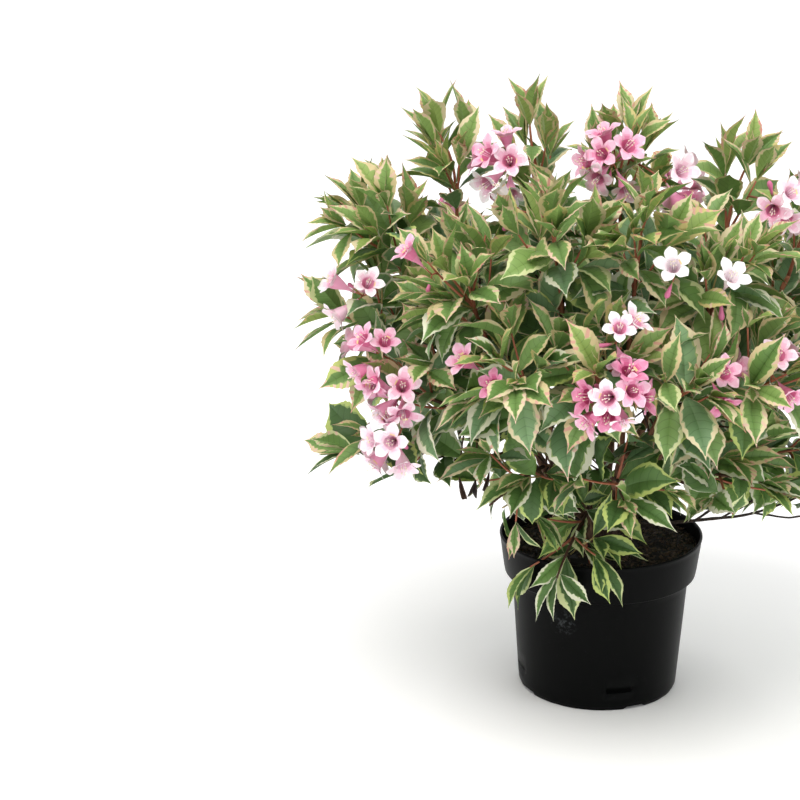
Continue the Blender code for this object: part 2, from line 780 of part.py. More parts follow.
def dead_twig_shapes(grow: float) -> list:
    """The bare, forked twig that leans out to the right over the rim."""
    end, way = stub_at(DEAD_AZIMUTH, RING_LIFT["low"])
    start = end + way * GAP
    far = start + heading(DEAD_AZIMUTH, 17.0) * DEAD_LENGTH
    path = [bezier(start, way, far, heading(DEAD_AZIMUTH + 8, 34.0), k / 5) for k in range(6)]
    radii = [DEAD_RADIUS + (DEAD_END - DEAD_RADIUS) * k / 5 for k in range(6)]
    stem = Limb(path, radii, (way, None))
    shapes = [rod_shape(path, radii, LIMB_SIDES, grow)]
    for share, swing, length in DEAD_FORKS:
        root, along, radius = stem.at(share)
        out = Matrix.Rotation(math.radians(swing), 3, Vector((0.3, -1.0, 0.1)).normalized()) @ along
        fork = [root, root + out * length * 0.5, root + (out + Vector((0.0, 0.0, 0.12))) * length]
        shapes.append(rod_shape(fork, [radius * 0.8, DEAD_END * 1.2, DEAD_END * 0.8], TWIG_SIDES, grow))
    return shapes


def carrier_of(bloom: Bloom) -> str:
    """The mass whose space a cluster of flowers lies in."""
    at = polar(bloom.azimuth, bloom.reach, bloom.height)
    return min(MASSES, key=lambda m: (space_centre(m) - at).length_squared - m.across**2).name


def main() -> None:
    """Clears the scene and builds the pot, the soil, the stool, the boughs and the masses."""
    for piece in list(bpy.data.objects):
        bpy.data.objects.remove(piece, do_unlink=True)
    pot = mesh_object("pot", *turned_shape(pot_outline(), POT_SIDES))
    finish(pot, "black_plastic", (0.010, 0.011, 0.012), 0.55)
    soil = mesh_object("soil", *turned_shape(soil_outline(), POT_SIDES))
    finish(soil, "compost", (0.018, 0.012, 0.009), 1.0)
    stool = fused("stool", stool_shapes(0.0))
    finish(stool, "old_bark", (0.055, 0.034, 0.024), 0.85)
    dead_twig = fused("dead_twig", dead_twig_shapes(0.0))
    finish(dead_twig, "dead_bark", (0.030, 0.020, 0.016), 0.9)

    obstacles = Obstacles()
    obstacles.add("pot", room_of_pot())
    for number, shape in enumerate(dead_twig_shapes(AIR)):
        obstacles.add(f"dead_twig_{number}", shape)
    limbs = grow_limbs(obstacles)
    for mass in MASSES:
        limb = limbs[mass.name]
        bough = mesh_object("bough_" + mass.name, *limb.shape())
        finish(bough, "bark_" + mass.name, (0.090, 0.050, 0.032), 0.8)
    for number, shape in enumerate(stool_shapes(AIR)):
        obstacles.add(f"stool_{number}", shape)

    for mass in MASSES:
        growth = Growth(mass, limbs[mass.name], obstacles)
        growth.leader()
        for bloom in BLOOMS:
            if carrier_of(bloom) == mass.name:
                growth.bloom(polar(bloom.azimuth, bloom.reach, bloom.height), bloom.flowers)
        growth.grow_leaves()
        body = fused("mass_" + mass.name, growth.shapes)
        finish(body, "leaves_" + mass.name, (0.20, 0.34, 0.13), 0.6)


if __name__ == "__main__":
    main()
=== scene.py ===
"""Looks of the potted variegated weigela: stems, twigs, leaves, blossom, compost and pot.

The shrub grows by the same rule as the solids: boughs from the stool, a leader through each mass
and side shoots in crossed pairs, here carried on to finer twigs with leaves and flowers of life size.
All sizes are in metres, +Z up. The photograph's camera stands on the -Y side and looks a little down.
"""

from __future__ import annotations

import logging
import math
import random
from collections.abc import Sequence
from dataclasses import dataclass, field
from enum import Enum

import bpy
import numpy as np
from mathutils import Matrix, Vector, noise


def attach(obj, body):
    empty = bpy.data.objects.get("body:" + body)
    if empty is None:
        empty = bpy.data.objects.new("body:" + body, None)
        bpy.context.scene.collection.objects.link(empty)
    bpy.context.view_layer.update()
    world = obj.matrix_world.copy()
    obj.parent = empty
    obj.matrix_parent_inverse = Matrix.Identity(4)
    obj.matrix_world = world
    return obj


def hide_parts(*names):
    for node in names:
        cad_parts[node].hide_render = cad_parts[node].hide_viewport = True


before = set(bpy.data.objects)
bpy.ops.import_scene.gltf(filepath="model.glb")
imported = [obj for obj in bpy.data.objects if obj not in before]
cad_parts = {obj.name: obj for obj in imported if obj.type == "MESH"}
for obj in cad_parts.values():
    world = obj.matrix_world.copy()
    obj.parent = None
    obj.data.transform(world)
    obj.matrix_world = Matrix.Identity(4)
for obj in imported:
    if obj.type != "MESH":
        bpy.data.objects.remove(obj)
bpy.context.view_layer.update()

LOG = logging.getLogger("weigela")
UP = Vector((0.0, 0.0, 1.0))
FRONT = Vector((0.0, -1.0, 0.0))
NOISE_SEED = 7


def linear(code: str) -> tuple[float, float, float, float]:
    """Turn an sRGB hex code into a linear colour.

    Args:
        code: Hex code such as "#5f8a4e".

    Returns:
        Linear red, green, blue and an alpha of one.
    """
    parts = [int(code[place : place + 2], 16) / 255 for place in (1, 3, 5)]
    turned = [p / 12.92 if p <= 0.04045 else ((p + 0.055) / 1.055) ** 2.4 for p in parts]
    return turned[0], turned[1], turned[2], 1.0


def darker(code: str, share: float) -> str:
    """Return a hex code with each channel brought down to a share of itself."""
    return "#" + "".join(f"{round(int(code[k : k + 2], 16) * share):02x}" for k in (1, 3, 5))


def add_node(
    tree: bpy.types.NodeTree, kind: str, settings: dict | None = None, links: dict | None = None
) -> bpy.types.Node:
    """Add one node with its settings and links.

    Args:
        tree: Node tree that takes the node.
        kind: Node type, such as "ShaderNodeBsdfPrincipled".
        settings: Input names or numbers, or attributes, and their values.
        links: Input names or numbers and the output sockets that feed them.

    Returns:
        The new node.
    """
    node = tree.nodes.new(kind)
    for name, value in (settings or {}).items():
        if isinstance(name, str) and hasattr(node, name):
            setattr(node, name, value)
        else:
            node.inputs[name].default_value = value
    for name, socket in (links or {}).items():
        tree.links.new(socket, node.inputs[name])
    return node


def new_material(name: str) -> tuple[bpy.types.Material, bpy.types.NodeTree, bpy.types.Node]:
    """Make an empty node material.

    Args:
        name: Name of the material.

    Returns:
        The material, its tree and its output node.
    """
    material = bpy.data.materials.new(name)
    material.use_nodes = True
    tree = material.node_tree
    tree.nodes.clear()
    return material, tree, add_node(tree, "ShaderNodeOutputMaterial")


def add_noise(
    tree: bpy.types.NodeTree, place: bpy.types.NodeSocket, scale: float, detail: float, roughness: float = 0.5
) -> bpy.types.NodeSocket:
    """Return noise with some cycles in a metre and finer layers, each with a share of the last."""
    settings = {"Scale": scale, "Detail": detail, "Roughness": roughness}
    return add_node(tree, "ShaderNodeTexNoise", settings, {"Vector": place}).outputs["Fac"]


def add_ramp(
    tree: bpy.types.NodeTree, factor: bpy.types.NodeSocket, stops: Sequence[tuple[float, str]]
) -> bpy.types.NodeSocket:
    """Add a colour ramp.

    Args:
        tree: Node tree that takes it.
        factor: What it reads.
        stops: Places from 0 to 1 and hex codes.

    Returns:
        Its colour.
    """
    node = add_node(tree, "ShaderNodeValToRGB", {}, {"Fac": factor})
    ramp = node.color_ramp
    while len(ramp.elements) < len(stops):
        ramp.elements.new(0.5)
    for element, (place, code) in zip(ramp.elements, stops):
        element.position = place
        element.color = linear(code)
    return node.outputs["Color"]


def add_range(
    tree: bpy.types.NodeTree,
    value: bpy.types.NodeSocket,
    given: tuple[float, float],
    made: tuple[float, float] = (0.0, 1.0),
) -> bpy.types.NodeSocket:
    """Turn one range of values into another.

    Args:
        tree: Node tree that takes it.
        value: What it reads.
        given: Least and most of what it reads.
        made: What these become.

    Returns:
        The value made.
    """
    names = ("From Min", "From Max", "To Min", "To Max")
    settings = dict(zip(names, (*given, *made)))
    return add_node(tree, "ShaderNodeMapRange", settings, {"Value": value}).outputs["Result"]


def add_blend(
    tree: bpy.types.NodeTree,
    factor: bpy.types.NodeSocket,
    low: bpy.types.NodeSocket | str,
    high: bpy.types.NodeSocket | str,
) -> bpy.types.NodeSocket:
    """Blend two colours.

    Args:
        tree: Node tree that takes it.
        factor: Share of the second colour.
        low: First colour, a socket or a hex code.
        high: Second colour, a socket or a hex code.

    Returns:
        The colour made.
    """
    node = add_node(tree, "ShaderNodeMix", {"data_type": "RGBA"}, {"Factor": factor})
    for number, colour in ((6, low), (7, high)):
        if isinstance(colour, str):
            node.inputs[number].default_value = linear(colour)
        else:
            tree.links.new(colour, node.inputs[number])
    return node.outputs[2]


def add_math(
    tree: bpy.types.NodeTree, operation: str, first: bpy.types.NodeSocket, second: bpy.types.NodeSocket
) -> bpy.types.NodeSocket:
    """Work out one value from two by a named operation."""
    return add_node(tree, "ShaderNodeMath", {"operation": operation}, {0: first, 1: second}).outputs["Value"]


def add_bump(
    tree: bpy.types.NodeTree, height: bpy.types.NodeSocket, strength: float, depth: float
) -> bpy.types.NodeSocket:
    """Return a normal that is roughened by a height, to a depth in metres."""
    settings = {"Strength": strength, "Distance": depth}
    return add_node(tree, "ShaderNodeBump", settings, {"Height": height}).outputs["Normal"]


def add_surface(
    tree: bpy.types.NodeTree, out: bpy.types.Node, settings: dict, links: dict | None = None
) -> None:
    """End a material in one shader, with its inputs' values and the sockets that feed them."""
    base = add_node(tree, "ShaderNodeBsdfPrincipled", settings, links)
    tree.links.new(base.outputs["BSDF"], out.inputs["Surface"])


# Finishes


@dataclass(frozen=True)
class Tissue:
    """Living plant tissue of one even colour: waxed skin over soft cells gives a broad satin light."""

    name: str
    colour: str
    roughness: float = 0.50
    ior: float = 1.42

    def build(self) -> bpy.types.Material:
        """Return the material."""
        material, tree, out = new_material(self.name)
        colour = linear(self.colour)
        add_surface(tree, out, {"Base Color": colour, "Roughness": self.roughness, "IOR": self.ior})
        return material


@dataclass(frozen=True)
class Bark:
    """Shrub bark, dry and split lengthwise: dull, with pale flakes over a darker ground."""

    name: str
    ground: str
    flake: str
    grain_mm: float = 1.6
    relief_mm: float = 0.25
    young: str = ""

    # The grain is drawn out along the height, and one cycle of its noise takes in two and a half grains
    STRETCH = (1.0, 1.0, 0.22)
    CYCLE, DETAIL, SPLIT = 2.5, 4.0, 0.6
    GROUND_TO, FLAKE_FROM = 0.36, 0.70
    # The smooth skin of young wood takes over between these heights
    YOUNG_FROM, YOUNG_FULL = 0.24, 0.44
    BUMP, ROUGHNESS = 0.8, 0.85

    def build(self) -> bpy.types.Material:
        """Return the material."""
        material, tree, out = new_material(self.name)
        place = add_node(tree, "ShaderNodeTexCoord").outputs["Object"]
        drawn = add_node(tree, "ShaderNodeMapping", {"Scale": self.STRETCH}, {"Vector": place})
        scale = 1000.0 / (self.grain_mm * self.CYCLE)
        grain = add_noise(tree, drawn.outputs["Vector"], scale, self.DETAIL, self.SPLIT)
        colour = add_ramp(tree, grain, [(self.GROUND_TO, self.ground), (self.FLAKE_FROM, self.flake)])
        if self.young:
            parts = add_node(tree, "ShaderNodeSeparateXYZ", {}, {"Vector": place})
            height = add_range(tree, parts.outputs["Z"], (self.YOUNG_FROM, self.YOUNG_FULL))
            colour = add_blend(tree, height, colour, self.young)
        relief = add_bump(tree, grain, self.BUMP, self.relief_mm / 1000)
        add_surface(tree, out, {"Roughness": self.ROUGHNESS}, {"Base Color": colour, "Normal": relief})
        return material


@dataclass(frozen=True)
class PottingCompost:
    """Moist peat and bark compost: nearly black, rough, with a few dry brown fibres."""

    name: str = "potting_compost"
    crumb_mm: float = 2.5
    relief_mm: float = 1.5
    roughness: float = 0.92
    stops: tuple[tuple[float, str], ...] = ((0.30, "#080605"), (0.55, "#130e0b"), (0.80, "#30251d"))

    # One cycle of the noise takes in two crumbs
    CYCLE, DETAIL, SPLIT = 2.0, 5.0, 0.7

    def build(self) -> bpy.types.Material:
        """Return the material."""
        material, tree, out = new_material(self.name)
        place = add_node(tree, "ShaderNodeTexCoord").outputs["Object"]
        scale = 1000.0 / (self.crumb_mm * self.CYCLE)
        crumbs = add_noise(tree, place, scale, self.DETAIL, self.SPLIT)
        colour = add_ramp(tree, crumbs, self.stops)
        relief = add_bump(tree, crumbs, 1.0, self.relief_mm / 1000)
        add_surface(tree, out, {"Roughness": self.roughness}, {"Base Color": colour, "Normal": relief})
        return material


@dataclass(frozen=True)
class NurseryPlastic:
    """Moulded recycled polypropylene: deep black with a soft sheen, dusty scuffs and flow marks."""

    name: str = "nursery_polypropylene"
    black: str = "#050606"
    dust: str = "#595d5f"
    scuff_at: tuple[float, float, float] = (-0.0455, -0.084, 0.104)
    scuff_inner: float = 0.004
    scuff_outer: float = 0.019
    orange_peel_mm: float = 1.2
    peel_depth_mm: float = 0.3
    peel_bump: float = 0.25
    sheen_roughness: float = 0.38
    dusty_roughness: float = 0.75
    ior: float = 1.49
    specular: float = 0.06

    # Rub marks run round the wall, so their pattern is squeezed in height
    RUB = (38.0, 38.0, 95.0)
    RUB_STOPS = ((0.60, "#000000"), (0.84, "#262626"))
    SPECKS_A_METRE = 420.0
    SPECK_STOPS = ((0.69, "#000000"), (0.76, "#4a4a4a"))
    TEARS_A_METRE = 210.0
    TEAR_STOPS = ((0.50, "#000000"), (0.68, "#bdbdbd"))
    # Layers of noise in the marks, and the share of each finer layer in the rubs and tears
    FINE, COARSE = 7.0, 3.0
    RUB_SPLIT, TEAR_SPLIT = 0.72, 0.7

    def build(self) -> bpy.types.Material:
        """Return the material."""
        material, tree, out = new_material(self.name)
        place = add_node(tree, "ShaderNodeTexCoord").outputs["Object"]
        dusty = self.dusty_places(tree, place)
        colour = add_blend(tree, dusty, self.black, self.dust)
        rough = add_range(tree, dusty, (0.0, 1.0), (self.sheen_roughness, self.dusty_roughness))
        peel = add_noise(tree, place, 1000.0 / (self.orange_peel_mm * 2.0), 2.0)
        relief = add_bump(tree, peel, self.peel_bump, self.peel_depth_mm / 1000)
        settings = {"IOR": self.ior, "Specular IOR Level": self.specular}
        links = {"Base Color": colour, "Roughness": rough, "Normal": relief}
        add_surface(tree, out, settings, links)
        return material

    def dusty_places(self, tree: bpy.types.NodeTree, place: bpy.types.NodeSocket) -> bpy.types.NodeSocket:
        """Say where dust and rub marks show.

        Args:
            tree: The material's tree.
            place: Its coordinates.

        Returns:
            How dusty the wall is, from 0 to 1.
        """
        rub = add_node(tree, "ShaderNodeMapping", {"Scale": self.RUB}, {"Vector": place})
        rubs = add_noise(tree, rub.outputs["Vector"], 1.0, self.FINE, self.RUB_SPLIT)
        marks = add_ramp(tree, rubs, self.RUB_STOPS)
        specks = add_ramp(tree, add_noise(tree, place, self.SPECKS_A_METRE, self.COARSE), self.SPECK_STOPS)
        # One larger scuff on the front, where something hard rubbed past
        distance = {"operation": "DISTANCE", 1: self.scuff_at}
        away = add_node(tree, "ShaderNodeVectorMath", distance, {0: place})
        patch = add_range(tree, away.outputs["Value"], (self.scuff_inner, self.scuff_outer), (1.0, 0.0))
        tears = add_noise(tree, place, self.TEARS_A_METRE, self.FINE, self.TEAR_SPLIT)
        torn = add_ramp(tree, tears, self.TEAR_STOPS)
        scuff = add_math(tree, "MULTIPLY", patch, torn)
        return add_math(tree, "MAXIMUM", add_math(tree, "MAXIMUM", marks, specks), scuff)


STOOL_BARK = Bark("stool_bark", "#241812", "#5d4636", 1.8, 0.5)
STEM_BARK = Bark("stem_bark", "#3a261c", "#80604a", 1.4, 0.3, "#a4694c")
DEAD_BARK = Bark("dead_bark", "#1b1411", "#42352c", 1.2, 0.2)
CHIP_BARK = Bark("compost_chips", "#0b0908", "#5d4a3a", 2.2, 0.2)


def tissues(name: str, roughness: float, *codes: str) -> tuple[Tissue, ...]:
    """Return one finish for each colour, numbered in order."""
    return tuple(Tissue(f"{name}_{number}", code, roughness) for number, code in enumerate(codes))


GREENS = ("#95ad5f", "#84a259", "#769754", "#6a8d4a", "#597b40", "#486735", "#80a271", "#6c8d61")
PINKS = ("#fdfafb", "#fbeef3", "#f9e0ea", "#f6cedf", "#f2bbd2", "#eea6c4")
ROSES = ("#e790b4", "#de79a2", "#d1608e", "#bf4a79", "#a53662", "#83244a")
# Share of each green kept in the sunk side veins: a painted shade of their grooves
VEIN_PAINTED_SHADE_SHARE = 0.90

# Blades, from shoots in full light to leaves deep in the shrub, and then two milky greens
BLADES = tissues("blade", 0.46, *GREENS)
# The same greens made darker, as painted shade in the sunk side veins
VEIN_PAINTED_SHADES = tissues("vein", 0.50, *(darker(code, VEIN_PAINTED_SHADE_SHARE) for code in GREENS))
# Half-tones where the green breaks up towards the edge
HALVES = tissues("half", 0.48, "#bccb88", "#adbd8f", "#9bb06c", "#8da560")
# Pale edges: cream, butter, straw, lime, milk, pale lime
EDGES = tissues("edge", 0.50, "#dccfa8", "#d6c596", "#cdbf80", "#b8c672", "#dadbc1", "#cad199")
# Flushed edges of young leaves
FLUSHES = tissues("flush", 0.50, "#d8a692", "#cb907e", "#e0c0aa")
WITHERED = tissues("withered", 0.80, "#3c2a22", "#251a16", "#5a4030")
# Petals from white to the darkest throat, then the guide mark, anthers, and buds and sepals
PETALS = tissues("petal", 0.55, *PINKS, *ROSES)
GUIDE = Tissue("guide_mark", "#f5d9a0", 0.6)
ANTHER = Tissue("anther", "#f4ead2", 0.7)
SEPAL = Tissue("sepal", "#8d9a4e", 0.55)
TWIG_GREEN = Tissue("green_shoot", "#9c8a58", 0.55)
TWIG_RED = Tissue("red_shoot", "#a8634a", 0.6)
TWIG_BROWN = Tissue("brown_twig", "#4d3427", 0.75)


# Meshes


class Batch:
    """Faces of one kind gathered in arrays until they become one piece."""

    def __init__(self) -> None:
        """Start empty."""
        self.points: list[np.ndarray] = []
        self.quads: list[np.ndarray] = []
        self.slots: list[np.ndarray] = []
        self.count = 0

    def add(self, points: np.ndarray, quads: np.ndarray, slots: np.ndarray | int) -> None:
        """Add a body.

        Args:
            points: Corner positions, one row each.
            quads: Four corner numbers a row; a triangle repeats its last one.
            slots: Material slot of each face, or one for all.
        """
        self.points.append(points)
        self.quads.append(quads + self.count)
        self.slots.append(np.full(len(quads), slots) if np.isscalar(slots) else slots)
        self.count += len(points)

    def faces(self) -> int:
        """Return how many faces it holds."""
        return sum(len(q) for q in self.quads)

    def piece(self, name: str, finishes: list[bpy.types.Material]) -> bpy.types.Object:
        """Make the gathered faces one object with smooth shading.

        Args:
            name: Name of the piece.
            finishes: Materials in slot order.

        Returns:
            The object, at the origin.
        """
        quads = np.concatenate(self.quads).tolist()
        faces = [quad[:3] if quad[2] == quad[3] else quad for quad in quads]
        mesh = bpy.data.meshes.new(name)
        mesh.from_pydata(np.concatenate(self.points).tolist(), [], faces)
        mesh.polygons.foreach_set("material_index", np.concatenate(self.slots).astype(np.int32))
        mesh.polygons.foreach_set("use_smooth", np.ones(len(quads), dtype=bool))
        for finish in finishes:
            mesh.materials.append(finish)
        mesh.validate()
        return show(name, mesh)


def show(name: str, data: bpy.types.ID) -> bpy.types.Object:
    """Put a mesh, lamp or camera in the scene as an object at the origin."""
    made = bpy.data.objects.new(name, data)
    bpy.context.scene.collection.objects.link(made)
    return made


def melted(host: bpy.types.Object) -> bpy.types.Mesh:
    """Return an object's mesh with its modifiers applied, and take the object away."""
    graph = bpy.context.evaluated_depsgraph_get()
    mesh = bpy.data.meshes.new_from_object(host.evaluated_get(graph))
    bpy.data.objects.remove(host, do_unlink=True)
    return mesh


def rows_of(points: list[Vector]) -> np.ndarray:
    """Return points as an array, one row each."""
    return np.array([tuple(point) for point in points])


def grid_quads(rows: int, columns: int, closed: bool) -> np.ndarray:
    """Return the faces of a grid of points.

    Args:
        rows: Rows of points.
        columns: Points in a row.
        closed: Whether each row is a ring.

    Returns:
        Corner numbers, four a face.
    """
    row = np.arange(rows - 1)[:, None]
    column = np.arange(columns if closed else columns - 1)[None, :]
    after = (column + 1) % columns
    low, high = row * columns, (row + 1) * columns
    corners = (low + column, low + after, high + after, high + column)
    return np.stack(corners, axis=-1).reshape(-1, 4)


def polar(azimuth: float, reach: float, height: float) -> Vector:
    """Return the point at an azimuth in degrees, a distance from the axis and a height."""
    turn = math.radians(azimuth)
    return Vector((reach * math.cos(turn), reach * math.sin(turn), height))


def heading(azimuth: float, lift: float) -> Vector:
    """Return the unit direction at an azimuth and a lift above level, both in degrees."""
    rise = math.radians(lift)
    return polar(azimuth, math.cos(rise), math.sin(rise))


def square_to(direction: Vector, near: Vector) -> Vector:
    """Return the unit vector square to a direction that lies nearest another vector."""
    side = near - direction * near.dot(direction)
    if side.length < 1e-4:
        side = direction.orthogonal()
    return side.normalized()


# How far a curve's handles reach, as a share of the distance between its ends
PULL = 0.38


def bezier(start: Vector, start_way: Vector, end: Vector, end_way: Vector, share: float) -> Vector:
    """Return a point on the curve that leaves start along start_way and reaches end along end_way."""
    pull = (end - start).length * PULL
    a, b, c, d = start, start + start_way * pull, end - end_way * pull, end
    s = 1.0 - share
    return a * s**3 + b * 3 * s * s * share + c * 3 * s * share**2 + d * share**3


# Cycles of noise round a stem and from ring to ring: ridges in its bark, and knots that add less than they do
RIDGE_ROUND, RIDGE_ALONG = 2.2, 0.16
KNOT_ALONG, KNOT_SHARE = 0.31, 0.8


def tube(path: list[Vector], radii: list[float], sides: int, lumps: float = 0.0, seed: float = 0.0) -> tuple:
    """Shape a tapering round stem with closed ends.

    Args:
        path: Points along its middle.
        radii: Radius at each point.
        sides: Corners round it.
        lumps: Share of the radius by which its skin swells and sinks.
        seed: Place in the noise that the lumps come from.

    Returns:
        Points and faces as arrays.
    """
    across = square_to((path[1] - path[0]).normalized(), Vector((0.31, 0.22, 1.0)))
    last = len(path) - 1
    rows = []
    for step, centre in enumerate(path):
        way = (path[min(step + 1, last)] - path[max(step - 1, 0)]).normalized()
        across = square_to(way, across)
        other = way.cross(across)
        for corner in range(sides):
            turn = 2 * math.pi * corner / sides
            spoke = across * math.cos(turn) + other * math.sin(turn)
            swell = 1.0
            if lumps:
                x, y = math.cos(turn) * RIDGE_ROUND, math.sin(turn) * RIDGE_ROUND
                ridge = noise.noise(Vector((x, y, seed + step * RIDGE_ALONG)))
                knot = noise.noise(Vector((seed * 1.7, 4.1, step * KNOT_ALONG)))
                swell += lumps * (ridge + KNOT_SHARE * knot)
            rows.append(centre + spoke * radii[step] * swell)
    points = rows_of(rows + [path[0], path[-1]])
    quads = grid_quads(len(path), sides, True)
    corner = np.arange(sides)
    after = (corner + 1) % sides
    low = np.full(sides, len(points) - 2)
    high = np.full(sides, len(points) - 1)
    top = last * sides
    caps = [
        np.stack([after, corner, low, low], axis=1),
        np.stack([top + corner, top + after, high, high], axis=1),
    ]
    return points, np.concatenate([quads, *caps])


def along_path(path: list[Vector], share: float) -> Vector:
    """Return the point at a share of a path's steps."""
    spot = min(max(share, 0.0), 0.9999) * (len(path) - 1)
    step = int(spot)
    return path[step].lerp(path[step + 1], spot - step)


# The shrub's plan


# The pieces that the belt's front and back leaves are joined into, and the azimuths that they span
BELT_PARTS = (("belt_front", 180, 330), ("belt_back", 80, 180))


@dataclass(frozen=True)
class Mass:
    """One mass of foliage: where its space lies, how big it is and what carries it."""

    name: str
    azimuth: float
    reach: float
    height: float
    across: float
    along: float
    lift: float
    carrier: str
    off_at: float
    sag: float

    # How far behind its middle the leader begins, as a share of its half length
    BEHIND = 0.80

    def centre(self) -> Vector:
        """Return the middle of its space."""
        return polar(self.azimuth, self.reach, self.height)

    def axis(self) -> Vector:
        """Return the direction in which its leader grows."""
        return heading(self.azimuth, self.lift)

    def foot(self) -> Vector:
        """Return where its bough ends and its leader begins."""
        return self.centre() - self.axis() * (self.along * self.BEHIND)

    def group(self) -> str:
        """Return the tier that it belongs to."""
        return self.name.split("_")[0]

    def piece(self) -> str:
        """Return the piece that its leaves are joined into: the large belt comes in three."""
        if self.group() != "belt":
            return self.group()
        return next((part for part, start, end in BELT_PARTS if start <= self.azimuth < end), "belt_right")


# Azimuth, distance from the axis and height of the middle, half width and half length, lift of the leader,
# the bough or ring of stubs that carries it, where on that bough, and sag. As in the solids, except that
# skirt_2 and skirt_6 sag more.
MASSES = (
    Mass("spire_1", 164, 0.180, 0.583, 0.080, 0.085, 80, "inner", 0.00, 0.00),
    Mass("spire_2", 150, 0.095, 0.590, 0.076, 0.085, 86, "spire_3", 0.62, 0.00),
    Mass("spire_3", 0, 0.015, 0.590, 0.080, 0.085, 88, "inner", 0.00, 0.00),
    Mass("spire_4", 5, 0.140, 0.560, 0.084, 0.080, 78, "inner", 0.00, 0.00),
    Mass("spire_5", 6, 0.225, 0.525, 0.084, 0.080, 66, "outer", 0.00, 0.00),
    Mass("spire_6", 78, 0.130, 0.520, 0.100, 0.080, 74, "outer", 0.00, 0.00),
    Mass("shoulder_1", 177, 0.255, 0.510, 0.086, 0.082, 50, "outer", 0.00, 0.05),
    Mass("shoulder_2", 217, 0.200, 0.480, 0.090, 0.085, 58, "outer", 0.00, 0.05),
    Mass("shoulder_3", 243, 0.150, 0.535, 0.084, 0.082, 70, "shoulder_2", 0.60, 0.05),
    Mass("shoulder_4", 277, 0.150, 0.535, 0.086, 0.084, 70, "outer", 0.00, 0.05),
    Mass("shoulder_5", 310, 0.175, 0.500, 0.090, 0.084, 60, "outer", 0.00, 0.05),
    Mass("belt_1", 183, 0.262, 0.420, 0.088, 0.078, 24, "shoulder_1", 0.62, 0.14),
    Mass("belt_2", 205, 0.230, 0.365, 0.090, 0.080, 25, "shoulder_1", 0.42, 0.14),
    Mass("belt_3", 239, 0.205, 0.410, 0.092, 0.082, 38, "shoulder_2", 0.45, 0.14),
    Mass("belt_4", 263, 0.205, 0.415, 0.090, 0.080, 34, "shoulder_4", 0.55, 0.14),
    Mass("belt_5", 287, 0.212, 0.400, 0.090, 0.080, 34, "shoulder_4", 0.40, 0.14),
    Mass("belt_6", 312, 0.225, 0.400, 0.094, 0.080, 34, "shoulder_5", 0.50, 0.14),
    Mass("belt_7", 345, 0.250, 0.410, 0.098, 0.080, 30, "spire_5", 0.52, 0.14),
    Mass("belt_8", 26, 0.245, 0.410, 0.104, 0.084, 34, "spire_5", 0.62, 0.14),
    Mass("belt_9", 62, 0.235, 0.375, 0.106, 0.084, 30, "spire_6", 0.45, 0.14),
    Mass("belt_10", 102, 0.225, 0.400, 0.106, 0.084, 38, "spire_6", 0.62, 0.14),
    Mass("belt_11", 140, 0.240, 0.415, 0.106, 0.084, 36, "outer", 0.00, 0.14),
    Mass("skirt_1", 190, 0.248, 0.285, 0.080, 0.082, 4, "shoulder_1", 0.30, 0.30),
    Mass("skirt_2", 226, 0.160, 0.265, 0.080, 0.076, -14, "shoulder_2", 0.26, 0.55),
    Mass("skirt_3", 246, 0.108, 0.190, 0.082, 0.086, -22, "low", 0.00, 1.00),
    Mass("skirt_4", 272, 0.170, 0.285, 0.084, 0.076, 6, "shoulder_4", 0.24, 0.30),
    Mass("skirt_5", 314, 0.185, 0.285, 0.090, 0.080, 8, "shoulder_5", 0.28, 0.30),
    Mass("skirt_6", 356, 0.225, 0.275, 0.096, 0.084, 4, "spire_5", 0.30, 0.70),
)


class Tint(Enum):
    """How a cluster's flowers are coloured: shades of lobe tip, mouth, throat and tube."""

    WHITE = (0, 1, 1, 2)
    LILAC = (1, 3, 3, 4)
    BLUSH = (0, 4, 5, 5)
    PALE = (2, 5, 6, 5)
    PINK = (3, 6, 7, 6)
    ROSE = (5, 8, 9, 7)


@dataclass(frozen=True)
class Bloom:
    """One cluster of flowers: where it shows, how many the solids have there and its tints."""

    azimuth: float
    reach: float
    height: float
    flowers: int
    tints: tuple[Tint, ...]


